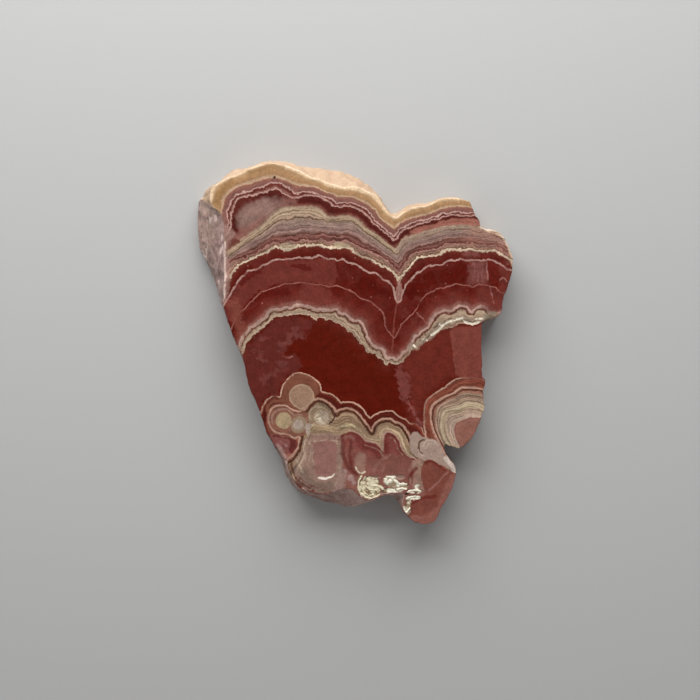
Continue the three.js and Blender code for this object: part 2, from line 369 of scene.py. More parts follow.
def faceSurface(x, y):
    # height of the face, how far inside crystal crust or pocket it is, and how much painted light its
    # relief gets: knob tops and ridges lit, creases in painted shade
    crust = sliceStone["crystal"]
    wobble = crust["wobble"] * roughness3d((x, y, 0), crust["wobbleSize"], seeds["crystalEdge"])
    height, crystal, pocket = thickness, -1.0, -1.0
    for share, shape in zip(ellipseShares(x, y, pockets), pockets):
        share += wobble
        if share > 0:
            deep = min(1, share * 1.3)
            height = min(height, thickness - shape[4] * deep * deep * (3 - 2 * deep))
        pocket = max(pocket, share)
    lump = max(0, knob((x, y, 0), crust["knobSize"], seeds["crystalKnob"]))
    for share, shape in zip(ellipseShares(x, y, crystalPatches), crystalPatches):
        share += wobble
        if share > 0:
            top = thickness - shape[4] - crust["knobDrop"] * (1 - lump)
            top -= crust["rimDrop"] * (1 - min(1, share * 3))
            top += crust["roughHeight"] * roughness3d((x, y, 4), crust["roughSize"], seeds["crystalRough"])
            top = min(top, thickness)
            height = max(height, top) if height < thickness else top
        crystal = max(crystal, share)
    litShare = lump
    for halfWidth, points in crystalRidges:
        nearest, _ = distanceTo(np.asarray(points, float), np.array([[x, y]]))
        share = 1 - nearest[0] / halfWidth + wobble
        if share > 0:
            slope = crust["ridgeDrop"] * (1 - min(1, share)) ** 2
            height = max(height, thickness + crust["ridgeRise"] - slope)
            litShare = max(litShare, min(1, 0.6 + share))
        crystal = max(crystal, share)
    return height, crystal, pocket, litShare


def hexPlaces(low, high, spacing):
    xs = np.arange(low[0], high[0], spacing)
    ys = np.arange(low[1], high[1], spacing * math.sqrt(3) / 2)
    grid = np.stack(np.meshgrid(xs, ys), axis=-1)
    grid[1::2, :, 0] += spacing / 2
    return grid.reshape(-1, 2)


clearOfEdge = 0.55  # share of the spacing kept free of points along an outline


def capOver(loop, spacing, fineArea=None, fineSpacing=None):
    # a flat net of triangles over the outline, finer inside the given area
    places = hexPlaces(loop.min(axis=0), loop.max(axis=0), spacing)
    if fineArea:
        x0, y0, x1, y1 = fineArea
        x, y = places.T
        places = places[~((x > x0) & (x < x1) & (y > y0) & (y < y1))]
        places = np.vstack((places, hexPlaces((x0, y0), (x1, y1), fineSpacing)))
    clearance, _ = distanceTo(loop, places, closed=True)
    places = places[insideOf(loop, places) & (clearance > clearOfEdge * spacing)]
    points = np.vstack((loop, places))
    count = len(loop)
    edges = [(i, (i + 1) % count) for i in range(count)]
    made = delaunay_2d_cdt([Vector(point) for point in points], edges, [], 1, 1e-7)
    origins = [some[0] for some in made[3]]
    return points, np.array([[origins[v] for v in triangle] for triangle in made[2]])


facePoints, faceTriangles = capOver(
    sideRings[0][:, :2], sliceStone["faceSpacing"], crystalArea, sliceStone["crystalSpacing"])
backPoints, backTriangles = capOver(sideRings[-1][:, :2], sliceStone["backSpacing"])
print("caps:", len(facePoints), "and", len(backPoints), "points")

# one closed mesh: the rings first, then the insides of the two caps
ringPlaces = np.vstack(sideRings)
inFace = facePoints[loopCount:]
flatFace = (thickness, -1, -1, 0)
surface = np.array([
    faceSurface(x, y) if reliefLeft < x < reliefRight and y < reliefTop else flatFace for x, y in inFace
])
inBack = np.column_stack((backPoints[loopCount:], np.zeros(len(backPoints) - loopCount)))
places = np.vstack((ringPlaces, np.column_stack((inFace, surface[:, 0])), inBack))
firstFace = len(ringPlaces)
firstBack = firstFace + len(inFace)
lastRing = (len(sideRings) - 1) * loopCount


def capIndices(triangles, loopStart, insideStart):
    return np.where(triangles < loopCount, triangles + loopStart, triangles - loopCount + insideStart)


topFaces = capIndices(faceTriangles, 0, firstFace)
bottomFaces = capIndices(backTriangles, lastRing, firstBack)[:, ::-1]
around = np.arange(loopCount)
nextAround = (around + 1) % loopCount
sideFaces = np.vstack([
    np.column_stack((row * loopCount + around, (row + 1) * loopCount + around,
                     (row + 1) * loopCount + nextAround, row * loopCount + nextAround))
    for row in range(len(sideRings) - 1)
])
mesh = bpy.data.meshes.new(sliceNode + "Stone")
mesh.from_pydata((places * mm).tolist(), [], topFaces.tolist() + bottomFaces.tolist() + sideFaces.tolist())
if mesh.validate():
    print("mesh: some faces were dropped")
print("mesh:", len(mesh.vertices), "points,", len(mesh.polygons), "faces")

# growth of the stone: each curve is one front of growth, given in mm, left to right;
# a band's colour depends on which two fronts it lies between and how far across the gap
downwardFronts = [
    [(-26, 0), (-24, 10), (-23.2, 20), (-23.2, 22.2), (-23.9, 23.2), (-24, 24.5), (-23.6, 25.9),
     (-22.8, 26.9), (-21.8, 27), (-20.8, 27.8), (-19.2, 28.3), (-18, 29.1), (-16.4, 29.5), (-14.6, 30),
     (-13, 29.9), (-11.5, 29.4), (-10, 28.9), (-8.5, 28.1), (-7, 27.5), (-5.6, 27.1), (-4.6, 26.3),
     (-3, 26.1), (-1.5, 25.8), (0, 25.7), (1.2, 25.3), (2.5, 24.9), (3.6, 24.1), (4.4, 23.3), (5, 22.2),
     (6, 21.4), (6.9, 20.8), (7.6, 21), (8.8, 22), (10, 22.5), (12, 22.9), (13.5, 23.4), (15, 24),
     (17, 24.1), (19.5, 23.9), (21, 23.6)],
    [(-25.5, 0), (-23.5, 10), (-22.9, 20), (-22.6, 21.8), (-22.4, 22.5), (-22, 24), (-21.4, 25),
     (-20.3, 25.9), (-19, 26.5), (-17.3, 26.9), (-15.5, 27.5), (-14, 27.8), (-12.5, 27.6), (-11, 27.1),
     (-9.8, 26.5), (-8.8, 26.4), (-7, 26.3), (-5.9, 26), (-5, 25.4), (-3.5, 25), (-2.9, 24.6), (-1, 24.5),
     (0.2, 24.3), (1.2, 23.8), (2.1, 23.4), (3, 22.7), (3.7, 22.2), (4.4, 21), (5.2, 20.3), (6.2, 19.6),
     (6.8, 19.2), (7.5, 19.7), (8.5, 20.3), (10, 20.9), (12, 21.4), (14, 22.1), (15.5, 22.6), (17, 22.9),
     (19, 22.8), (21, 22.5)],
    [(-26, 12), (-23, 17.6), (-21.8, 18.8), (-21.2, 20.2), (-21.4, 21.2), (-21.5, 22.2), (-21.1, 22.9),
     (-20.8, 23.9), (-20.3, 24.3), (-19.9, 24.9), (-19, 25.1), (-18.4, 25.5), (-17.4, 25.5), (-16.7, 26),
     (-15.5, 26.2), (-14.7, 26.7), (-13.8, 27), (-12.8, 26.9), (-12, 26.6), (-11, 26), (-10.2, 25.3),
     (-9.8, 25.1), (-8.6, 25.4), (-7.5, 25.4), (-6.3, 25.1), (-5.2, 24.6), (-4.4, 24.4), (-3.6, 24.1),
     (-3.1, 23.6), (-2, 23.6), (-0.9, 23.6), (0.2, 23.4), (1.2, 22.9), (2, 22.6), (3, 21.4), (4, 20.1),
     (5, 19.3), (6, 18.4), (6.9, 17.9), (7.8, 19.1), (8.6, 19.4), (9.8, 20.1), (11, 20.5), (12.2, 20.6),
     (13.5, 21.1), (14, 21.2), (15, 21.7), (16.2, 21.8), (17.5, 22.1), (18.6, 21.8), (20.5, 21.9)],
    [(-26, 11), (-22.8, 17), (-21.3, 18.7), (-20.9, 19.6), (-20.8, 21), (-20.7, 22.3), (-20.3, 23.1),
     (-19.9, 24), (-19.4, 24.4), (-18.5, 24.7), (-17.4, 24.7), (-16.4, 25.1), (-15.2, 25.3),
     (-14.2, 25.8), (-13.2, 26), (-12.5, 25.6), (-11.8, 25.2), (-11, 24.7), (-10.3, 24.4), (-9, 24.6),
     (-7.5, 24.8), (-6.5, 24.7), (-5.6, 24.5), (-4.8, 24), (-4, 23.6), (-3.3, 23), (-2.4, 22.9), (-1, 23),
     (0.2, 22.7), (1.4, 22.1), (2.5, 21.1), (3.4, 20), (4.2, 19.4), (5.2, 18.6), (6.2, 17.8), (6.9, 17.2),
     (7.6, 18), (8.4, 18.9), (9.6, 19.4), (11, 19.9), (12.5, 20.3), (13.5, 20.7), (14.5, 20.8),
     (15.5, 21.3), (17, 21.5), (18.5, 21.3), (20.5, 21.3)],
    [(-26, 9), (-22, 15.2), (-21, 16), (-19, 17.5), (-17, 18.7), (-15, 20.3), (-14, 21.3), (-13, 22.2),
     (-12, 22.6), (-10, 22.8), (-8, 22.8), (-6.5, 22.7), (-5.5, 22.2), (-4.8, 21.4), (-4, 21.1),
     (-2.5, 21.1), (-1, 21.3), (0, 21), (0.9, 20.4), (1.8, 19.4), (2.8, 18.7), (4, 18), (5.2, 17),
     (6.2, 16.3), (7.1, 15.7), (8, 17), (9, 17.6), (10.5, 18.2), (12, 18.7), (13.5, 19), (15, 19.5),
     (17, 19.7), (19, 19.8), (21, 19.5), (23, 19)],
    [(-26, 8), (-22, 13.8), (-20.5, 15), (-18.5, 16.6), (-16.5, 17.9), (-15, 18.9), (-13.8, 19.8),
     (-12.8, 20.5), (-12, 20.7), (-10.5, 20.7), (-10, 21.1), (-8.5, 21), (-7.4, 21), (-6.8, 20.7),
     (-5.2, 20.7), (-4.4, 20.3), (-3.6, 20.6), (-2.8, 20.4), (-1, 20.5), (0.2, 20.1), (1.2, 19.2),
     (2.5, 18.2), (4, 17.2), (5.8, 15.9), (7.4, 14.9), (8.3, 16.2), (9.5, 17.1), (11, 17.6), (13, 18.1),
     (15, 18.8), (17, 19), (19, 19), (21, 18.6), (23, 18.4), (25, 17.6)],
    [(-26, 7), (-22.5, 13), (-21, 14.2), (-19, 15.6), (-17, 16.7), (-15, 17.9), (-13.5, 18.7),
     (-13, 18.9), (-10, 19), (-9, 19.3), (-5, 19.2), (-3, 19), (-1, 19), (0.5, 18.6), (2, 17.5),
     (4, 16.2), (6, 14.8), (7.4, 13.8), (8.2, 15.1), (9.5, 16.2), (11, 16.8), (13, 17.3), (15, 17.9),
     (17, 18.2), (19, 18.2), (21, 17.8), (24, 17.4), (25.5, 16.7)],
    [(-26, 6), (-23, 12), (-21.3, 13.3), (-19, 14.3), (-17, 15), (-15, 16.3), (-13.4, 17.1),
     (-12.2, 16.7), (-11, 17.3), (-9.6, 17.1), (-9, 17.6), (-8, 17.3), (-6.2, 17.3), (-5.6, 17.7),
     (-4.8, 17.4), (-4.2, 17.1), (-3.4, 17.4), (-2.8, 17.2), (-1.2, 17.4), (-0.3, 17), (0.5, 16.5),
     (1.5, 16), (3, 15.5), (4.5, 14.7), (6, 13.7), (7, 12.8), (7.7, 12), (8.3, 13), (9, 14), (9.8, 14.9),
     (10.8, 15.4), (12.5, 15.7), (14.3, 16), (15.2, 16.5), (16.5, 16.8), (18, 16.9), (20, 16.8),
     (22, 16.5), (24, 16.4), (25, 15.8), (26.5, 14.9)],
    [(-26, 3), (-23, 8.8), (-21.2, 10.8), (-20.4, 12), (-19.9, 12.6), (-19, 13.3), (-18, 13.8),
     (-17, 14.2), (-16, 14.7), (-15, 15.1), (-14, 15.8), (-13, 16.1), (-12.2, 15.8), (-11.4, 15.6),
     (-10.5, 15.8), (-9.8, 16.1), (-8.8, 16.3), (-7.5, 16.3), (-6, 16.4), (-5, 16.1), (-4.2, 15.9),
     (-3, 16), (-1.8, 15.9), (-1, 15.9), (-0.3, 15.6), (0, 15.2), (0.8, 14.7), (2, 14.1), (3.2, 13.6),
     (4.5, 13), (5.8, 12.4), (6.7, 11.7), (7.3, 10.9), (7.7, 10.3), (8, 10.8), (8.4, 11.4), (9.2, 12.2),
     (10, 13.3), (10.6, 13.9), (11.5, 14.3), (13, 14.5), (14.5, 14.8), (15.3, 15.3), (16.5, 15.6),
     (18, 15.6), (19, 15.4), (19.6, 15.7), (20.8, 15.4), (22, 15.3), (24, 15.4), (24.9, 14.9), (26, 14.2),
     (27.2, 13.5)],
    [(-26, -1), (-23, 4.6), (-21.9, 6.5), (-21.2, 7.5), (-20.6, 8.6), (-20, 9.6), (-19.6, 10.3),
     (-19.1, 10.9), (-18.5, 11.2), (-18, 12), (-17.4, 12), (-16.6, 12.2), (-16, 12.5), (-15.5, 13),
     (-14.5, 13.3), (-13.5, 13.8), (-12.8, 14), (-11.5, 13.9), (-10.4, 14), (-9.8, 14.2), (-8.5, 14.2),
     (-7, 14.2), (-5.9, 14.6), (-5, 14.2), (-4.2, 13.9), (-3.2, 14.1), (-2.8, 13.8), (-1.8, 14),
     (-1.2, 13.5), (0, 13.2), (1, 12.7), (2, 12), (3, 11.6), (3.6, 11.6), (4.4, 11.2), (5, 10.5),
     (5.8, 10.2), (6.4, 9.5), (6.8, 8.7), (7.05, 7.8), (7.1, 7), (7.5, 6.6), (8, 7), (8.2, 8), (8.6, 9),
     (9.2, 10), (10, 10.8), (10.7, 11.6), (11.5, 12), (12.2, 12.6), (13.5, 12.9), (15, 13), (15.7, 13.5),
     (16.6, 13.8), (17.6, 13.8), (18.2, 14), (19, 13.8), (20.5, 13.8), (22, 13.8), (23.5, 13.9),
     (24.3, 13.4), (25.2, 13), (26.2, 12.3), (27.3, 12.1)],
    [(-25, -5), (-22, 0), (-20.9, 1.9), (-20.6, 2.7), (-20, 4), (-19.4, 4.9), (-18.4, 5.7), (-17.2, 7),
     (-16.2, 8), (-15.2, 8.6), (-13.5, 9.1), (-12, 9.7), (-10, 9.9), (-8.7, 10), (-7, 9.7), (-5.5, 9.6),
     (-4.2, 9.3), (-2.8, 9.4), (-1.6, 9), (-0.4, 8.5), (0.5, 7.9), (1.4, 7.2), (2, 7.1), (3, 6.6),
     (4, 5.9), (4.8, 5.1), (5.2, 4.2), (5.3, 3.2), (5.6, 2), (6.2, 1.4), (6.9, 0.5), (7.5, 1.5),
     (8.1, 2.8), (9, 3.8), (10.2, 4.8), (10.7, 5.6), (11.4, 7), (12.4, 8), (13.4, 8.5), (14.5, 9),
     (16, 9.2), (17.3, 9.8), (18.5, 9.6), (19.6, 9.5), (20.3, 9.2), (21, 9.7), (22.3, 9.6), (23.2, 9.4),
     (24.2, 9.1), (25, 8.3), (26.2, 8.3)],
    [(-24, -8), (-21, -3.5), (-19.5, -1), (-19.3, -0.1), (-18.9, 0.8), (-18, 1.9), (-17, 2.7), (-16, 3.5),
     (-15.1, 4.1), (-14.4, 5.1), (-13.6, 5.4), (-12.6, 5.4), (-11.8, 5.8), (-10.6, 5.8), (-9.6, 6.2),
     (-8, 6), (-7.2, 5.8), (-6.6, 5.4), (-5, 5.4), (-4.2, 5.3), (-3, 5.5), (-2.2, 4.8), (-1.2, 4.6),
     (-0.7, 4), (-0.1, 3.6), (0.9, 3.5), (1.5, 3), (1.9, 2), (2.2, 1.2), (2.6, 0.3), (3.1, -0.5),
     (3.6, -0.9), (4.6, -1.1), (5.2, -1.8), (5.6, -2.8), (6.4, -2.7), (7.2, -3), (7.9, -2.6), (8.3, -1.9),
     (9, -1.4), (9.6, -0.5), (10.1, 0.2), (10.4, 0.9), (11, 1.1), (11.5, 1.8), (12.4, 2.3), (12.9, 3),
     (13.5, 4), (14.3, 4.9), (15.3, 5.3), (16.8, 5.2), (17.4, 5.8), (18.3, 6.1), (19.2, 5.8), (19.9, 5),
     (20.7, 5.6), (21.8, 6), (22.8, 5.4), (23.5, 4.7), (25, 4.9)],
    [(-23, -10), (-20.5, -6), (-18.9, -3), (-18.7, -1.8), (-18.2, -0.4), (-17.2, 0.8), (-16.2, 1.7),
     (-15, 2.6), (-14.2, 3.4), (-13.4, 4), (-12.2, 4.2), (-11, 4.4), (-10, 4.5), (-9, 4.7), (-8.2, 4.4),
     (-7.4, 4.4), (-7, 4), (-6.4, 3.6), (-5.9, 4), (-5.2, 4), (-4.8, 3.5), (-4, 3.8), (-3.2, 3.2),
     (-2.6, 3), (-2, 2.6), (-1.4, 2.1), (-0.6, 1.5), (0.2, 0.6), (1, -0.2), (1.8, -0.9), (2.3, -1.9),
     (3.2, -2), (4, -2.6), (4.8, -3.2), (5.3, -4), (6.2, -3.7), (7.2, -3.9), (8.1, -3.6), (9, -2.9),
     (9.6, -2), (10, -1.2), (10.6, -1.5), (11.2, -1.5), (11.4, -0.8), (12.4, -0.1), (13.4, 0.4),
     (13.9, 1.2), (15, 1.9), (16.4, 2.2), (17.4, 2.6), (18.2, 3), (19.2, 2.9), (20.2, 2.8), (21, 3.3),
     (22, 3.4)],
]
upwardFronts = [
    [(-26, -17), (-20, -14.6), (-16.2, -12.8), (-15.7, -11.8), (-15.6, -11.3), (-15.2, -10.5),
     (-14.7, -9.9), (-14.2, -9.5), (-13.3, -9.3), (-12.6, -9.4), (-12.4, -9), (-12.3, -8.2), (-12, -7.3),
     (-11.4, -6.6), (-10.8, -6), (-10, -5.5), (-9.2, -5.35), (-8.4, -5.5), (-7.4, -5.9), (-6.6, -6.4),
     (-5.9, -7), (-5.6, -7.7), (-5.5, -8.5), (-4.8, -8.7), (-4, -8.9), (-3.2, -9.4), (-2.6, -10),
     (-2.3, -10.4), (-1.6, -10.3), (-0.6, -10.3), (0.4, -10.6), (1.2, -11.2), (1.8, -11.9), (2.3, -12.6),
     (2.8, -13.05), (3.2, -12.8), (3.8, -12.3), (4.8, -11.95), (6, -11.8), (6.7, -11.95), (7.3, -12.5),
     (8.2, -13), (9, -13.4), (9.5, -13.9), (10.5, -14), (11, -14.3), (11.6, -14.8), (11.9, -15.6),
     (12.6, -16), (13.6, -16.1), (14.6, -16.9), (15.2, -17.7), (17, -19), (30, -19)],
    [(-20, -26), (-13.5, -21), (-12, -20.4), (-10.9, -19.7), (-9.9, -18.7), (-9.3, -17.2), (-9.3, -16.3),
     (-10.3, -16.4), (-11, -15.9), (-12, -15.7), (-13.2, -15.5), (-14.2, -14.4), (-14.6, -13),
     (-14.3, -11.8), (-13.6, -11.1), (-12.4, -10.8), (-11.3, -11), (-10.5, -11.5), (-9.5, -11.9),
     (-8.6, -11.6), (-8.1, -11.1), (-7.5, -10.3), (-6.9, -9.9), (-6, -9.75), (-5, -10), (-4.2, -10.5),
     (-3.4, -11.2), (-2.9, -11.9), (-2.4, -11.55), (-1.6, -11.35), (-0.6, -11.4), (0.2, -11.7),
     (0.9, -12.4), (1.7, -13.3), (2.4, -14.2), (2.9, -15.2), (3.1, -15.3), (3.3, -14.6), (3.8, -13.8),
     (4.5, -13.3), (5.5, -13.05), (6.3, -13.1), (7, -13.6), (8, -14), (8.7, -14.6), (9.3, -15.5),
     (9.8, -16.6), (10.1, -17.8), (10.6, -18.8), (12, -20), (30, -21)],
    [(-19, -28), (-13, -22), (-11.6, -20.9), (-10.3, -19.9), (-9.4, -18.8), (-8.8, -17), (-8.8, -15.9),
     (-10.5, -15.9), (-11.2, -15.4), (-12.2, -15.2), (-13, -15), (-13.8, -14), (-14.1, -13), (-13.8, -12),
     (-13.2, -11.6), (-12.3, -11.3), (-11.3, -11.5), (-10.4, -12), (-9, -12.4), (-8, -11.9),
     (-7.4, -11.1), (-6.5, -10.3), (-5.6, -10.1), (-4.6, -10.6), (-3.7, -11.6), (-3.3, -12.4),
     (-2.9, -12.6), (-2.2, -11.95), (-1.4, -11.8), (-0.5, -11.85), (0.1, -12.1), (0.8, -12.9),
     (1.6, -13.8), (2.3, -14.8), (3, -15.7), (3.3, -15.6), (3.5, -14.9), (4, -14.1), (4.7, -13.7),
     (5.6, -13.5), (6.3, -13.6), (6.9, -14), (7.8, -14.4), (8.5, -15), (9, -15.8), (9.4, -16.8),
     (9.7, -17.8), (10, -18.6), (11.6, -20.6), (30, -22)],
    [(-11, -30), (-8.6, -22), (-7.5, -17), (-7, -15.9), (-2.2, -16), (-1.6, -15.5), (-0.5, -15.4),
     (0.6, -15.7), (1.4, -16.4), (2, -17), (3, -17.2), (3.8, -17.5), (4.4, -18), (4.9, -18.8),
     (5.1, -18.9), (5.15, -17.5), (5.2, -16), (5.6, -15.5), (6.4, -15.6), (7.2, -16.2), (7.7, -17),
     (8, -18), (8.6, -19), (9.5, -19.7), (10.5, -20), (12, -21.5), (30, -24)],
]
rosetteFronts = [
    [(13.6, -20), (12.3, -16.2), (12, -14.5), (11.95, -12.5), (12.1, -11), (12.5, -9.9), (13.1, -9.4),
     (14, -8.7), (15.2, -8), (16.2, -7.2), (17.2, -6.5), (18.3, -6.2), (20, -6.2), (21.4, -6.4),
     (22.4, -6.75), (30, -10)],
    [(16, -20), (14.4, -17), (13.9, -15.9), (13.3, -14.6), (13.1, -13), (13.15, -11.5), (13.6, -10.6),
     (14.4, -10), (15.2, -9.6), (16, -9.2), (17, -8.8), (18, -8), (19, -7.8), (20.2, -7.8), (21.5, -8),
     (22.3, -8.1), (30, -11)],
    [(16.6, -20), (14.8, -17), (14.2, -15.7), (13.65, -14.5), (13.5, -13), (13.55, -11.6), (14, -10.9),
     (14.7, -10.35), (15.5, -9.9), (16.4, -9.45), (17.3, -9.05), (18, -8.5), (19, -8.25), (20.3, -8.25),
     (22.2, -8.6), (30, -12)],
    [(17.2, -20), (15, -17.3), (14.5, -15.8), (14.1, -14.5), (14, -12.7), (14.2, -11.5), (14.9, -10.8),
     (15.7, -10.3), (17, -9.85), (18, -9.2), (19, -8.9), (20.5, -9), (22, -9.3), (30, -13)],
    [(18, -20), (16.5, -18), (15.6, -16.6), (15.1, -15), (15, -13.5), (15.4, -12.4), (16.3, -11.8),
     (18, -11.6), (19, -11.1), (20, -10.9), (21, -11.1), (22, -11.6), (30, -15)],
    [(19, -20), (18, -18), (17.5, -16.8), (17.1, -15.5), (17.1, -14.4), (17.6, -13.8), (18.4, -13.4),
     (19.3, -13), (20.2, -12.9), (21, -12.9), (21.6, -13), (30, -17)],
]

runOut = (9, -1.5)  # how each front goes on past its last point
farRight, farBelow = 60, 40
thinnestGap = 0.15


def growthField(fronts, places):
    # x: fronts passed plus the share of the gap crossed, y: mm along the nearest front,
    # z: fronts passed per mm; outside the first front and inside the last one x goes on in mm
    measured = []
    for front in fronts:
        line = smoothLine(front + [(front[-1][0] + runOut[0], front[-1][1] + runOut[1])], 5)
        low = min(line[:, 1].min(), places[:, 1].min()) - farBelow
        closing = [(farRight, line[-1, 1]), (farRight, low), (line[0, 0], low)]
        measured.append(signedDistance(line, places, closing))
    depths = np.array([depth for depth, _ in measured])
    growth = np.minimum(depths[0], 0) + np.maximum(depths[-1], 0)
    along = measured[0][1].copy()
    rate = np.ones(len(places))
    rates = 1 / np.maximum(depths[:-1] - depths[1:], thinnestGap)
    for number, (outer, inner) in enumerate(zip(depths[:-1], depths[1:])):
        between = (outer > 0) & (inner < 0)
        share = outer / np.maximum(outer - inner, 1e-6)
        growth += np.where(between, share, inner >= 0)
        along = np.where(between & (share > 0.5) | (inner >= 0), measured[number + 1][1], along)
        rate = np.where(between, rates[number], rate)
    return np.column_stack((growth, along, rate))


# the bands waver, and shift a little on their way down through the stone
waver = sliceStone["bandWaver"]
depthBelow = thickness - places[:, 2]
onFace = (np.arange(len(places)) >= firstFace) & (depthBelow < thickness / 2)
drift = np.where(onFace, 0, depthBelow / thickness)
samplePlaces = places[:, :2] + drift[:, None] * np.array(sliceStone["bandDrift"])
samplePlaces += np.array([
    [waver["height"] * roughness3d((x, y, seed), waver["size"], seed, 2) for seed in seeds["waver"]]
    for x, y in samplePlaces
])
fields = {
    "downwardGrowth": growthField(downwardFronts, samplePlaces),
    "upwardGrowth": growthField(upwardFronts, samplePlaces),
    "rosetteGrowth": growthField(rosetteFronts, samplePlaces),
}
print("growth fields done")


def mark(colour, soft, ragged, cover, areas=(), discs=(), strokes=(), plain=False):
    return {"colour": colour, "soft": soft, "ragged": ragged, "cover": cover, "areas": areas,
            "discs": discs, "strokes": strokes, "plain": plain}


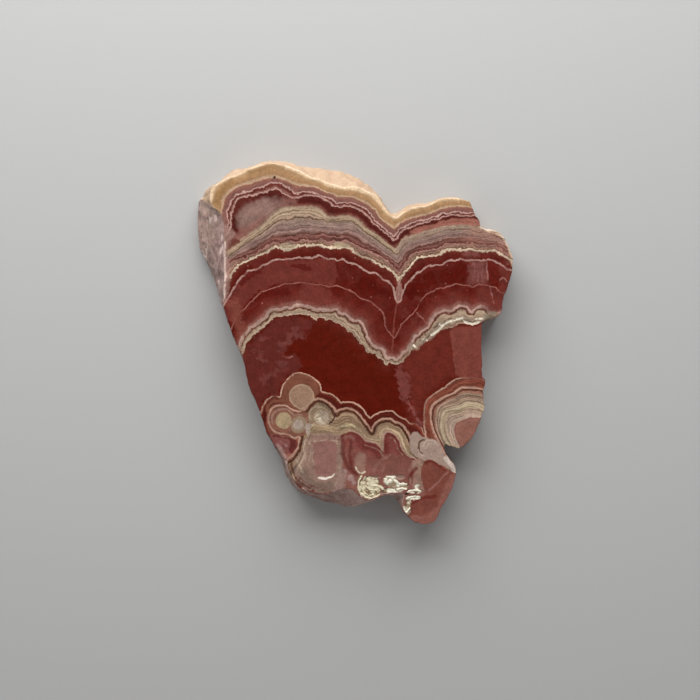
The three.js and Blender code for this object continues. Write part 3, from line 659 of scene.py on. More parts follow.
# marks laid over the bands, in order: colour, how soft and how ragged the edge is in mm, how much
# it covers, and its shapes, which are outlines of areas, discs (x, y, radius) and strokes (half
# width, points); the fine lines of the bands don't show through plain ones
marks = {
    "tanShade": mark((142, 106, 68), 0.7, 0.2, 0.7, strokes=[
        (0.6, [(-23.5, 23.4), (-22.8, 25.2), (-20.8, 27.2)]),
        (0.35, [(-17.4, 28.8), (-14.8, 29.7), (-12, 29.9)]),
    ]),
    "leftCloud": mark((123, 92, 84), 1.2, 0.35, 0.9, areas=[
        [(-19.7, 19.4), (-19.8, 21.2), (-19.2, 22.6), (-18.2, 23.4), (-16.6, 23.8), (-14.9, 24.3),
         (-13.2, 24.5), (-11.6, 24), (-10.6, 23.6), (-12, 23), (-13.9, 21.9), (-15.2, 20.8), (-17, 19.3),
         (-18.6, 18.3)],
    ]),
    "leftCloudEdge": mark((128, 84, 75), 1, 0.3, 0.85, strokes=[
        (0.7, [(-20.4, 17), (-18.8, 18.4), (-17, 19.8), (-15.4, 21.2)]),
        (0.5, [(-11.8, 24), (-10.2, 23.8)]),
    ]),
    "leftCloudHeart": mark((138, 108, 99), 1.5, 0.4, 0.75, strokes=[
        (1.4, [(-18.2, 20.9), (-16.8, 21.9), (-15, 22.9)]),
    ]),
    "redWedge": mark((92, 42, 34), 0.3, 0.2, 0.8, areas=[
        [(-22.4, 15.2), (-22.2, 17.6), (-21.2, 18.2), (-20.2, 17.5), (-19.2, 17.1), (-20.6, 16),
         (-22, 15)],
    ]),
    "rightSalmon": mark((150, 95, 82), 0.4, 0.25, 0.85, areas=[
        [(9.5, 18.6), (11, 19.3), (13.5, 19.95), (15.5, 20.7), (18, 20.9), (20.6, 20.8), (21.8, 20),
         (21, 19.7), (17, 19.85), (13, 19.1), (10.5, 18.3)],
    ]),
    "rightGrey": mark((142, 119, 107), 0.5, 0.2, 0.6, strokes=[
        (0.36, [(7.4, 15.4), (8.1, 16.5), (9.1, 17.2), (10.6, 17.8), (12.2, 18.3), (15, 19.1), (17, 19.3),
         (19, 19.4), (21, 19.1), (23.4, 18.5)]),
    ]),
    "greenCream": mark((160, 145, 118), 0.3, 0.2, 0.7, strokes=[
        (0.42, [(-12.2, 16.2), (-11, 16.35), (-10.2, 16.2)]),
        (0.4, [(-3, 16.4), (-2, 16.45), (-1, 16.3)]),
    ]),
    "rightHaze": mark((124, 76, 70), 1.2, 0.6, 0.65, areas=[
        [(19.9, 13.4), (22.5, 13.5), (22.5, 12), (22.6, 10.1), (21, 9.9), (19.8, 9.8)],
    ], strokes=[
        (0.45, [(19, 14.9), (20.8, 14.8)]),
    ]),
    "hazeStreaks": mark((150, 104, 97), 0.15, 0.12, 0.5, strokes=[
        (0.07, [(20.4, 13.3), (20.5, 11.8), (20.3, 10)]),
        (0.06, [(21, 13.2), (21.2, 11.4), (21.1, 10.2)]),
        (0.08, [(21.8, 13.3), (21.9, 12), (21.8, 10.2)]), (0.06, [(20.6, 2.2), (20.7, 0), (20.6, -3)]),
        (0.07, [(21.3, 2.4), (21.3, -0.5), (21.4, -4)]), (0.05, [(19.4, 2.2), (19.3, 0.6)]),
    ]),
    "lobeHaze": mark((106, 50, 43), 0.9, 0.6, 0.6, areas=[
        [(24.4, 12.9), (26.6, 12), (26.9, 9), (25.4, 6), (24.4, 4.6), (22.2, 5.8), (21, 7.4), (21.6, 9.2),
         (24.4, 9), (24.8, 10.4)],
    ], strokes=[
        (0.5, [(10, 3.4), (11.2, 4.4), (12.2, 3.4)]), (0.6, [(9, 5.2), (11, 7.2)]),
        (0.4, [(17, 8), (16.6, 6.6)]),
    ]),
    "lobeDark": mark((92, 27, 19), 0.3, 0.2, 0.9, areas=[
        [(22.7, 13.3), (22.8, 12), (22.9, 10.3), (24, 9.8), (24.9, 10.9), (24.3, 12.3), (23.7, 13.4)],
    ]),
    "lobeCracks": mark((152, 104, 95), 0.15, 0.1, 0.75, strokes=[
        (0.09, [(22.6, 13.4), (22.65, 12), (22.8, 10.4)]), (0.07, [(23.1, 9.3), (23.5, 8), (23.8, 6.5)]),
        (0.08, [(10.7, 4.9), (11.6, 4), (12.5, 3)]), (0.1, [(24.8, 10.4), (25.4, 10.9), (26, 10.2)]),
    ]),
    "lobeCorner": mark((138, 122, 104), 0.6, 0.3, 0.85, discs=[(22.6, 4.1, 0.8), (23.8, 4.6, 0.5)]),
    "lobeTint": mark((152, 106, 92), 2.6, 0.6, 0.45, areas=[
        [(18.6, 17), (20.4, 20), (24, 20), (27.5, 18), (28, 12.5), (26.2, 14.4), (24, 15.9), (21, 16.4)],
    ]),
    "shoulderRim": mark((212, 188, 162), 0.4, 0.25, 0.85, strokes=[
        (0.4, [(21.8, 19.5), (22.7, 19.2), (23.9, 18.95), (25, 18.3)]),
        (0.22, [(25, 18.3), (25.9, 17), (26.5, 15.4), (27, 13.8), (27.1, 12.8)]),
    ]),
    "leftHaze": mark((111, 53, 46), 0.5, 0.6, 0.65, areas=[
        [(-20.4, 8.8), (-18.6, 11.4), (-16, 12.3), (-13, 13.7), (-9, 13.9), (-3.2, 13.6), (-3.4, 9.6),
         (-7, 9.9), (-12, 9.9), (-15.5, 8.8), (-18.4, 6.4), (-20.5, 3.5), (-22, 4)],
        [(-9, 9.4), (-4.2, 8.9), (-3.8, 6.7), (-5.5, 6), (-8.8, 6.7)],
    ]),
    "leftGlow": mark((122, 66, 55), 1, 0.6, 0.7, strokes=[
        (0.9, [(-20.3, 6.4), (-19.7, 3.6), (-19.3, 1.9)]),
    ]),
    "bandDark": mark((84, 21, 16), 0.4, 0.5, 0.8, strokes=[
        (0.45, [(-19, 10), (-17.6, 11.2), (-16, 11.9)]), (0.5, [(-10, 12.9), (-7.6, 12.4)]),
        (0.5, [(-13.6, 8.2), (-11, 8.4)]), (0.6, [(9.4, 5.6), (10.6, 6.4)]),
    ]),
    "leftFade": mark((150, 116, 106), 1, 0.4, 0.85, areas=[
        [(-23.5, 22), (-22.4, 21.6), (-21.9, 20), (-20.3, 18.6), (-20.4, 17.6), (-21.4, 16.6),
         (-21.4, 14.4), (-21, 12.8), (-21.2, 10.4), (-22, 6.6), (-24, 6)],
    ]),
    "leftRidge": mark((200, 174, 164), 0.25, 0.15, 0.9, strokes=[
        (0.2, [(-22, 17), (-21.95, 13.6), (-21.9, 10.3), (-22.2, 6.9)]),
        (0.3, [(-22.1, 11), (-22.2, 8.6)]),
    ]),
    "cleftFill": mark((142, 102, 92), 0.3, 0.12, 0.9, areas=[
        [(7.45, 10), (7.75, 10.6), (8, 9.8), (8.15, 8.4), (8.1, 7.1), (7.6, 6.7), (7.1, 7), (7.1, 8.2)],
    ]),
    "cleftLines": mark((170, 136, 124), 0.12, 0.08, 0.8, strokes=[
        (0.1, [(7.3, 9.2), (7.1, 8), (7.3, 6.9), (7.8, 6.8), (8.1, 7.6), (8.3, 8.8)]),
        (0.07, [(7.7, 10.2), (7.6, 9), (7.65, 7.8)]),
    ]),
    "cleftSeam": mark((134, 74, 64), 0.2, 0.08, 0.6, strokes=[
        (0.14, [(7.3, 6.5), (7, 4.3), (6.75, 2), (6.6, -0.4), (6.5, -2.6)]),
    ]),
    "leftGemHaze": mark((94, 40, 34), 0.6, 0.9, 0.85, areas=[
        [(-19.5, -4), (-18.4, -0.9), (-16, 1.6), (-13.4, 3.6), (-10, 4.2), (-6.8, 3.4), (-7.6, 2.2),
         (-8.4, 0.9), (-10, 0), (-11.3, -1.3), (-11.3, -2.3), (-9.3, -2.4), (-9.3, -5), (-10.9, -5.9),
         (-12.6, -7.6), (-12.9, -9.2), (-15, -9.6), (-16.6, -13)],
    ]),
    "leftGemVeil": mark((110, 58, 53), 0.7, 1.1, 0.7, discs=[
        (-9.4, 1, 0.7), (-12, -4, 0.6), (-15.6, 0.4, 0.5),
    ], strokes=[
        (0.5, [(-9.8, 2.2), (-11, 0.4), (-12.6, -1)]), (0.4, [(-13, -5), (-15.4, -6.6)]),
        (0.4, [(-16.6, -1.4), (-15.2, -3.4)]),
    ]),
    "rightGemHaze": mark((104, 42, 33), 2.2, 0.8, 0.8, areas=[
        [(10, -1), (14, 1.4), (18, 2.6), (23, 3), (23, -7), (18, -6), (14, -8), (12, -10.5),
         (11.8, -14.6), (9.6, -13.8), (9, -9), (8, -5)],
    ]),
    "gemPatch": mark((119, 63, 58), 0.5, 0.9, 0.8, strokes=[
        (0.95, [(8, -5.4), (8.6, -7.4), (8.9, -9)]), (0.3, [(9, -9.4), (10, -11.6), (11.4, -14)]),
    ]),
    # the long strokes are the stone's own pale veins; the disc at (-11.8, -0.25) and the stroke near (-11,
    # -2.5) are painted glints
    "gemVeinsAndGlints": mark((152, 96, 90), 0.15, 0.15, 0.7, discs=[
        (-11.8, -0.25, 0.14), (-7.3, 7.6, 0.12), (-18, 12.9, 0.12), (3.4, 11.4, 0.12),
    ], strokes=[
        (0.08, [(9, -9.6), (10, -11.8), (11.3, -13.9)]),
        (0.09, [(-12, -2.5), (-11.2, -2.75), (-10.4, -2.5)]),
        (0.07, [(16.5, 2), (16.9, -1), (17.2, -4), (17.8, -5.8)]),
    ]),
    "rightBlock": mark((121, 64, 55), 0.25, 0.15, 0.8, plain=True, areas=[
        [(16.4, 1.9), (16.8, -1), (17, -4), (17.7, -5.9), (23, -6), (23, 3), (20, 2.4), (18, 2.5)],
    ]),
    "silverBand": mark((149, 131, 113), 0.3, 0.4, 0.85, strokes=[
        (0.42, [(9.6, -1.2), (10.6, -0.6), (11.8, 0.2), (12.9, 1), (14, 2), (15.4, 3), (17, 3.6),
         (18.6, 3.9), (20, 3.4), (21.8, 3.6)]),
    ]),
    "silverShade": mark((98, 74, 62), 0.12, 0.25, 0.75, discs=[
        (12.2, 1.2, 0.15), (13.6, 2.4, 0.13), (17.6, 3.3, 0.1), (11.2, 0.2, 0.14), (15.6, 2.7, 0.1),
    ], strokes=[
        (0.08, [(11.4, -0.6), (12.4, 0.5), (13.4, 1.5)]), (0.07, [(15.2, 3.3), (16.6, 4)]),
        (0.09, [(18.8, 3.8), (19.8, 3.35), (20.6, 3.45)]), (0.07, [(10, -0.4), (10.8, -0.3)]),
        (0.06, [(9, -2.2), (9.8, -1.6), (10.2, -1)]), (0.07, [(13.8, 2.3), (14.6, 3.2)]),
    ]),
    "silverGlint": mark((222, 210, 190), 0.12, 0.16, 0.95, discs=[
        (12.4, 0.2, 0.16), (14.6, 2.9, 0.14), (16.9, 4.2, 0.12), (9.5, -1.6, 0.12),
    ], strokes=[
        (0.17, [(13.2, 1.05), (14, 1.6), (14.9, 2.4), (16, 3.3)]),
        (0.13, [(16, 3.3), (17.6, 3.75), (18.5, 4)]),
        (0.16, [(18.6, 3.5), (19.3, 3.2), (20.2, 2.95), (21.3, 3.25)]),
        (0.12, [(20.7, 3.8), (21.9, 3.85)]), (0.12, [(10.2, -0.6), (10.6, -1), (11.1, -1.2)]),
        (0.1, [(11.6, 0.4), (12.2, 0.7)]),
    ]),
    "eyeSurround": mark((126, 82, 68), 0.25, 0.1, 0.97, plain=True, areas=[
        [(-14.35, -13.1), (-13.9, -11.8), (-12.4, -11.15), (-11.2, -11.35), (-10.2, -11.9), (-9, -12.3),
         (-8.3, -12), (-7.6, -12.6), (-7.6, -14.4), (-8.6, -15.95), (-10.5, -16), (-12.2, -15.4),
         (-13.7, -14.8)],
    ]),
    "domeFlesh": mark((122, 76, 59), 0.4, 0.2, 0.85, plain=True, areas=[
        [(-12, -8.8), (-11.8, -7.4), (-11, -6.4), (-9.9, -5.75), (-8.9, -5.65), (-7.6, -6.1), (-6.3, -7),
         (-5.9, -8.4), (-6.6, -9.6), (-8, -11), (-9, -11.8), (-10.3, -11.1), (-11.6, -10.5), (-13, -10.3),
         (-14.2, -11), (-14.8, -12.4), (-14.9, -11), (-14, -9.9), (-12.6, -9.8)],
    ]),
    "domeHeart": mark((149, 117, 96), 0.12, 0.06, 1, plain=True, areas=[
        [(-8.85, -7.25), (-7.6, -7.6), (-6.9, -8.4), (-6.7, -9.4), (-7.1, -10.4), (-7.9, -11.05),
         (-8.9, -11.65), (-9.9, -11.05), (-10.7, -10.4), (-11, -9.4), (-10.8, -8.4), (-10.1, -7.6)],
    ]),
    "domeRim": mark((168, 141, 119), 0.12, 0.05, 0.8, strokes=[
        (0.13, [(-8.85, -7.35), (-7.7, -7.7), (-7, -8.5), (-6.8, -9.4), (-7.2, -10.3), (-8, -10.9),
         (-8.9, -11.5), (-9.9, -10.9), (-10.6, -10.3), (-10.9, -9.4), (-10.7, -8.5), (-10, -7.7),
         (-8.85, -7.35)]),
    ]),
    "eyeFlesh": mark((132, 88, 73), 0.4, 0.12, 0.7, discs=[(-11.9, -13.4, 1.9)]),
    "eyeHeart": mark((163, 140, 110), 0.12, 0.05, 1, plain=True, discs=[(-11.9, -13.45, 1.4)]),
    "eyeRings": mark((156, 124, 108), 0.15, 0.06, 0.8, strokes=[
        (0.14, [(-13.8, -13.9), (-13.9, -12.7), (-13.2, -11.8), (-12, -11.5), (-10.9, -11.8),
         (-10.2, -12.5)]),
        (0.07, [(-10.9, -15.1), (-10.9, -13.9), (-10.4, -12.9), (-9.4, -12.4), (-8.4, -12.7),
         (-7.8, -13.6)]),
    ]),
    "smallEye": mark((143, 122, 100), 0.15, 0.08, 0.9, areas=[
        [(-9.4, -12.6), (-8.5, -12.9), (-8, -13.7), (-8.1, -14.8), (-8.8, -15.5), (-9.9, -15.5),
         (-10.5, -15), (-10.6, -13.9), (-10.2, -13)],
    ]),
    "smallEyeHeart": mark((160, 142, 129), 0.2, 0.06, 1, plain=True, discs=[
        (-9.4, -14.15, 0.85), (-7.7, -14.5, 0.62), (-7.75, -15.2, 0.45),
    ]),
    "shellFlesh": mark((140, 118, 97), 0.2, 0.1, 0.9, areas=[
        [(-7.7, -13.6), (-7.6, -12.2), (-6.9, -11), (-5.6, -10.6), (-4.5, -11.1), (-3.7, -12.2),
         (-3.5, -13), (-4.2, -14), (-6, -14.3)],
    ]),
    "shellHeart": mark((166, 148, 130), 0.3, 0.12, 0.9, discs=[(-5.4, -12.9, 1.3)]),
    "shellRings": mark((180, 158, 136), 0.1, 0.05, 0.85, strokes=[
        (0.1, [(-7.5, -13.2), (-7.6, -12.4), (-7.2, -11.6), (-6.4, -11.1), (-5.4, -11.15)]),
        (0.12, [(-6.5, -13.1), (-6.2, -12.5), (-5.5, -12.3)]),
        (0.12, [(-4.8, -12.3), (-4.3, -12.9), (-4.6, -13.6)]),
    ]),
    "shellLines": mark((100, 76, 58), 0.1, 0.05, 0.7, strokes=[
        (0.09, [(-7, -13.2), (-7, -12.4), (-6.5, -11.75), (-5.5, -11.6), (-4.5, -12), (-3.95, -12.8)]),
        (0.06, [(-6.1, -12.9), (-5.6, -12.7), (-5.1, -12.9)]),
    ]),
    "shellEye": mark((205, 190, 165), 0.2, 0.05, 1, discs=[(-5.8, -13.2, 0.32)]),
    "flatBand": mark((148, 124, 97), 0.3, 0.15, 0.85, areas=[
        [(-7.1, -14.5), (-3.5, -14.35), (-1.5, -14.1), (0, -14.6), (-0.8, -15.2), (-2.4, -15.9),
         (-7, -15.8), (-7.4, -15.2)],
    ]),
    "archGlint": mark((200, 180, 142), 0.15, 0.08, 0.9, strokes=[
        (0.15, [(-2.1, -14.45), (-1, -14.3), (-0.5, -14.05), (0.1, -14.45)]),
    ]),
    "concretion": mark((145, 117, 103), 0.35, 0.3, 0.9, areas=[
        [(-7.6, -15.9), (-8.7, -18.2), (-9.8, -20.3), (-10.3, -22.3), (-9.2, -24.4), (-6.5, -25.6),
         (-3.2, -25.4), (-2.1, -22.4), (-1.9, -17.2), (-2.6, -15.9)],
    ]),
    "concretionShade": mark((117, 96, 86), 0.8, 0.4, 0.7, areas=[
        [(-9.6, -21.5), (-8, -21.9), (-6.5, -23.6), (-3.6, -24), (-3, -25.6), (-7.5, -25.4),
         (-9.8, -23.6)],
    ]),
    "concretionHeart": mark((139, 97, 90), 0.3, 0.2, 0.9, plain=True, areas=[
        [(-6.5, -16.9), (-3.3, -16.7), (-2.9, -20), (-3.3, -22.4), (-4.6, -22.9), (-6.3, -22.6),
         (-7, -20)],
    ]),
    "concretionLines": mark((168, 146, 126), 0.2, 0.2, 0.75, strokes=[
        (0.16, [(-8.2, -16.8), (-8.5, -18), (-8.3, -19.3), (-8.9, -20.6)]),
        (0.1, [(-7.7, -16.7), (-7.3, -18), (-7.5, -19.6), (-7.9, -21)]),
        (0.12, [(-6.9, -17.8), (-7, -19.4), (-6.9, -21)]),
        (0.2, [(-9.9, -20), (-9.3, -21), (-8.7, -22.2)]),
        (0.13, [(-6.6, -16.95), (-5, -16.75), (-3.2, -16.9), (-2.7, -17.6)]),
        (0.07, [(-9.5, -19), (-9.2, -20.2), (-9.6, -21.4)]),
        (0.09, [(-3.4, -24.6), (-2.6, -23.6), (-2.4, -21)]),
    ]),
    "concretionDots": mark((98, 50, 46), 0.15, 0.15, 0.75, discs=[
        (-6.6, -16.4, 0.13), (-5.7, -16.3, 0.13), (-4.9, -16.2, 0.11), (-4.1, -16.3, 0.15),
        (-3.2, -16.35, 0.13), (-2.6, -16.7, 0.13), (-7.1, -17.3, 0.12), (-7.1, -18.6, 0.14),
        (-2.7, -17.6, 0.12), (-7.6, -19, 0.12),
    ], strokes=[
        (0.09, [(-9.7, -22.6), (-8.4, -23.9), (-6.6, -24.8), (-4.4, -25.3)]),
    ]),
    "softPillar": mark((146, 119, 110), 0.5, 0.3, 0.8, areas=[
        [(-2.4, -21.8), (-1.6, -21.6), (-1.1, -22.4), (-1.5, -24), (-1.9, -25.6), (-3.4, -25.6),
         (-2.7, -24)],
    ]),
    "concretionSeam": mark((100, 48, 42), 0.3, 0.15, 0.8, strokes=[
        (0.35, [(-2, -16.4), (-1.9, -18.6), (-1.5, -20.4), (-0.7, -21.8), (0.5, -22.6)]),
        (0.3, [(-0.4, -17), (-0.7, -19.4), (-0.4, -21)]),
    ]),
    "column": mark((146, 112, 98), 0.5, 0.15, 0.8, areas=[
        [(0.4, -19.4), (0.3, -21.2), (0.6, -22), (1.3, -22.4), (2, -22.1), (1.9, -21), (2.1, -19.4),
         (1.2, -18.8)],
    ]),
    "columnRim": mark((214, 196, 170), 0.15, 0.08, 0.9, strokes=[
        (0.17, [(0.35, -21.3), (0.6, -21.95), (1.2, -22.4), (1.9, -22.15)]),
    ]),
    "paleGlint": mark((226, 213, 200), 0.12, 0.08, 1, strokes=[
        (0.17, [(-5.9, -23.2), (-5, -23.3), (-4.1, -23.1)]),
        (0.1, [(-4.1, -23.1), (-3.5, -22.8), (-3.2, -22.5)]),
    ]),
    "lavender": mark((163, 134, 128), 0.4, 0.3, 0.8, discs=[
        (-0.5, -23.2, 0.55), (0, -23.9, 0.35), (-1.4, -22, 0.35),
    ]),
    "lowerMauve": mark((124, 80, 69), 0.9, 0.5, 0.7, areas=[
        [(3.4, -20), (5.5, -19.2), (8.2, -19.2), (10.5, -20.6), (10.4, -22), (8, -22.6), (5, -22.4),
         (3, -21.6)],
    ]),
    "purpleVeil": mark((144, 103, 93), 0.5, 0.4, 0.65, strokes=[
        (0.2, [(3.4, -22), (4.2, -20.8), (6, -19.3)]), (0.12, [(5.3, -20.7), (5.1, -21.6), (4.6, -22.2)]),
        (0.25, [(9.4, -21.9), (10.2, -20.8), (11.2, -20.2)]),
        (0.25, [(-1.8, -16.4), (-0.8, -16.2), (0, -16.5)]),
    ]),
    "purpleDeep": mark((98, 40, 36), 0.6, 0.4, 0.6, strokes=[
        (0.4, [(0.6, -16.6), (1.6, -17.8), (3, -18.2), (4.4, -19.6)]), (0.3, [(5.4, -17), (5.7, -18.8)]),
        (0.3, [(-0.2, -19.4), (-0.3, -21), (0.2, -22.4)]),
    ]),
    "leftWedge": mark((122, 72, 67), 0.3, 0.2, 0.9, plain=True, areas=[
        [(-14.2, -15.6), (-12.2, -16), (-10.6, -16.7), (-9.9, -17.6), (-10.4, -18.8), (-11.2, -19.2),
         (-12.6, -18.6), (-13.8, -17)],
    ]),
    "wedgeTeeth": mark((88, 35, 32), 0.2, 0.35, 0.85, areas=[
        [(-10.8, -16.5), (-9.7, -16.8), (-9.7, -18), (-10.6, -18.9), (-11.1, -18.2), (-10.7, -17.5)],
    ], strokes=[
        (0.12, [(-13.6, -16), (-12, -16.4), (-10.8, -16.6)]),
    ]),
    "wedgePale": mark((158, 126, 122), 0.4, 0.35, 0.7, strokes=[
        (0.25, [(-13, -17.6), (-12.2, -18.6), (-11.6, -19.6)]), (0.15, [(-12.4, -17), (-11.5, -17.6)]),
    ]),
    "lowerLeftRim": mark((144, 114, 106), 0.3, 0.15, 0.8, strokes=[
        (0.4, [(-12.6, -18.2), (-11.8, -19.8), (-11.7, -21.4), (-11, -23.4), (-9.8, -25)]),
    ]),
    "lowerLeftLines": mark((84, 45, 38), 0.2, 0.12, 0.8, strokes=[
        (0.17, [(-11.3, -20.8), (-11, -22), (-10.4, -23.3), (-9.4, -24.9)]),
        (0.17, [(-10.7, -20.3), (-10.5, -21.4), (-10, -22.8), (-9, -24.1), (-7.4, -24.9)]),
    ]),
    "rimNetwork": mark((98, 54, 46), 0.15, 0.25, 0.85, strokes=[
        (0.17, [(-11.4, -21.2), (-10.9, -23), (-9.8, -25), (-8.2, -26.3)]),
        (0.17, [(-9.8, -24), (-7.6, -25.5), (-5.2, -26.4), (-3.6, -26.3)]),
        (0.15, [(-7, -25.3), (-6.5, -26.8)]), (0.18, [(-3.9, -25.6), (-3.5, -26.9), (-4.4, -27.8)]),
        (0.1, [(-9.2, -25.6), (-7.4, -26.6), (-5.4, -27.4)]), (0.1, [(-11.8, -21.8), (-11.3, -23.6)]),
    ]),
    "rimPale": mark((188, 160, 148), 0.15, 0.2, 0.8, strokes=[
        (0.14, [(-11.6, -20.4), (-11.1, -22.2), (-10.3, -24), (-9.1, -25.7)]),
        (0.12, [(-8.8, -24.9), (-8.2, -25.2), (-7.8, -25.9)]), (0.12, [(-6.2, -26.3), (-4.8, -26.9)]),
        (0.1, [(-7.9, -26.7), (-6.9, -26.1)]),
    ]),
    "stemStone": mark((161, 138, 125), 0.25, 0.15, 0.95, plain=True, areas=[
        [(11.4, -16), (12.4, -16.35), (14, -16.8), (14.8, -17.8), (15.2, -18.9), (16.1, -20.1),
         (17.1, -21.2), (17.8, -22.6), (16.6, -22.1), (15.6, -21.4), (14.2, -20.8), (13, -20.1),
         (11.8, -20.2), (10.6, -19.6), (9.7, -18.6), (9.5, -16.6), (9.8, -15.6), (10.8, -15.4)],
    ]),
    "stemTail": mark((206, 190, 177), 0.4, 0.1, 0.8, strokes=[
        (0.45, [(15.7, -19.9), (16.6, -20.9), (17.1, -21.8), (17.4, -22.6)]),
    ]),
    "stemHook": mark((88, 60, 46), 0.15, 0.08, 0.9, strokes=[
        (0.17, [(12, -16.7), (11.4, -16.95), (11.1, -17.6), (11.15, -18.4), (11.7, -19.1)]),
    ]),
    "stemRings": mark((184, 162, 148), 0.15, 0.08, 0.7, strokes=[
        (0.14, [(11.8, -17.8), (12.1, -17), (12.9, -16.75), (13.8, -17), (14.4, -17.6)]),
        (0.1, [(12.1, -18.2), (12.5, -17.5), (13.1, -17.3), (13.8, -17.6)]),
        (0.12, [(11, -18.4), (11.4, -19.2), (12, -19.5)]),
    ]),
    "footStone": mark((152, 122, 106), 0.5, 0.3, 0.8, plain=True, areas=[
        [(10, -20.3), (12, -20.4), (11.6, -22.4), (11.9, -24.8), (11.6, -25.6), (10, -25), (10.2, -22.6)],
    ]),
    "footBlock": mark((119, 66, 56), 0.15, 0.1, 0.97, plain=True, areas=[
        [(12.1, -20.3), (13.2, -20.1), (14.5, -21), (16.2, -22), (18, -22.8), (18, -25), (16.4, -29),
         (14, -32), (10, -32), (8.8, -30), (9.6, -29.2), (9.9, -27.3), (11.5, -26.4), (12.3, -25.9),
         (11.9, -24.6), (11.4, -22.4)],
    ]),
    "lowerSeams": mark((156, 126, 110), 0.15, 0.12, 0.6, strokes=[
        (0.09, [(1.8, -17.5), (3.2, -18), (4.5, -18.8), (5, -19.6)]),
        (0.08, [(5.8, -16.3), (6.6, -16.5), (7.2, -17.4), (7.6, -18.4), (8.4, -19.4)]),
    ]),
    "footLight": mark((142, 92, 81), 0.7, 0.3, 0.75, areas=[
        [(16.8, -22.6), (17.8, -23), (15.4, -28.6), (13.4, -31.6), (9.6, -31.4), (9.4, -29.8),
         (12, -29.6), (14, -28), (15, -25.5)],
    ]),
    "footSeams": mark((152, 106, 96), 0.2, 0.1, 0.6, strokes=[
        (0.16, [(12.8, -25.3), (14.2, -24.1), (15.3, -22.9), (16.1, -22.1)]),
        (0.1, [(9.6, -29.9), (10.6, -29.7), (11.6, -30.1)]),
    ]),
    "footShade": mark((100, 40, 31), 0.3, 0.12, 0.8, strokes=[
        (0.26, [(10, -27.4), (11.5, -26.65), (13, -26.4), (14, -26.35)]),
        (0.28, [(9.6, -23.9), (9.6, -23), (10.1, -22.2), (10.6, -21.6)]),
        (0.2, [(12.2, -20.6), (13.2, -20.4), (14.2, -21.1), (15.4, -21.9)]),
    ]),
    "darkSpots": mark((60, 32, 30), 0.12, 0.05, 1, discs=[
        (-13.5, 27.9, 0.24), (-1.4, 26.4, 0.17), (5.9, 22.8, 0.12),
    ], strokes=[
        (0.12, [(-3.2, -12.3), (-3.4, -13.2), (-4.1, -13.95)]),
    ]),
}


def markDistance(areas, discs, strokes, places):
    # mm inside the nearest of the shapes, under 0 outside all of them
    best = np.full(len(places), -99.0)
    for outline in areas:
        best = np.maximum(best, signedDistance(smoothLine(outline, 4, closed=True), places)[0])
    for x, y, radius in discs:
        best = np.maximum(best, radius - np.hypot(places[:, 0] - x, places[:, 1] - y))
    for halfWidth, points in strokes:
        best = np.maximum(best, halfWidth - distanceTo(smoothLine(points, 4), places)[0])
    return np.maximum(best, -3)


for name, drawn in marks.items():
    fields[name] = markDistance(drawn["areas"], drawn["discs"], drawn["strokes"], samplePlaces)
print("marks done:", len(marks))

# what the materials read besides: knobs, crystal and pockets, and the kinds of broken side
for name, outside in (("relief", 0.0), ("crystal", -1.0), ("pocket", -1.0)):
    fields[name] = np.full(len(places), outside)
crustKnobSize = sliceStone["sideRelief"]["crust"]["knobSize"]
fields["relief"][:firstFace] = [knob(at, crustKnobSize, seeds["sideKnob"]) for at in ringPlaces]
for name, column in (("crystal", 1), ("pocket", 2), ("relief", 3)):
    fields[name][firstFace:firstBack] = surface[:, column]
for kind in ("rind", "weathered"):
    share = np.tile(kindShares[kind], len(sideRings))
    fields[kind + "Share"] = np.concatenate((share, np.zeros(len(places) - firstFace)))

for name, values in fields.items():
    if values.ndim == 2:
        mesh.attributes.new(name, "FLOAT_VECTOR", "POINT").data.foreach_set("vector", values.ravel())
    else:
        mesh.attributes.new(name, "FLOAT", "POINT").data.foreach_set("value", values)

# texture layout for baking: the face large, the back beside it, the side in four strips above
bakeLayout = {
    "faceScale": 0.0117, "faceMiddle": (0.335, 0.375), "backScale": 0.0058, "backMiddle": (0.825, 0.3),
    "strips": 4, "stripStart": (0.012, 0.765), "stripWidth": 0.97, "stripHeight": 0.052, "stripStep": 0.058,
}
perStrip = math.ceil(loopCount / bakeLayout["strips"])
middle = (places[:, :2].min(axis=0) + places[:, :2].max(axis=0)) / 2
sideStart = len(topFaces) + len(bottomFaces)
uvLayer = mesh.uv_layers.new(name="OFBake")
uvs = np.zeros((len(mesh.loops), 2))
for polygon in mesh.polygons:
    corners = range(polygon.loop_start, polygon.loop_start + polygon.loop_total)
    points = [mesh.loops[corner].vertex_index for corner in corners]
    if polygon.index < len(topFaces):
        uvs[corners] = (places[points, :2] - middle) * bakeLayout["faceScale"] + bakeLayout["faceMiddle"]
    elif polygon.index < sideStart:
        mirrored = np.array((-bakeLayout["backScale"], bakeLayout["backScale"]))
        uvs[corners] = (places[points, :2] - middle) * mirrored + bakeLayout["backMiddle"]
    else:
        start = (polygon.index - sideStart) % loopCount
        strip = start // perStrip
        left, low = bakeLayout["stripStart"]
        for corner, point in zip(corners, points):
            row, i = divmod(point, loopCount)
            step = (i - start) % loopCount
            across = left + (start - strip * perStrip + step) / perStrip * bakeLayout["stripWidth"]
            up = bakeLayout["stripHeight"] * (1 - depthShares[row])
            uvs[corner] = across, low + strip * bakeLayout["stripStep"] + up
uvLayer.data.foreach_set("uv", uvs.ravel())
mesh.set_sharp_from_angle(angle=math.radians(sliceStone["sharpAngle"]))
print("fields and texture layout stored")


def linear(colour):
    # a colour given 0-255 as the eye sees it, as the renderer wants it
    shares = (c / 255 for c in colour)
    return tuple(s / 12.92 if s <= 0.04045 else ((s + 0.055) / 1.055) ** 2.4 for s in shares) + (1,)


def stoneColour(name):
    return linear(sliceStone[name])


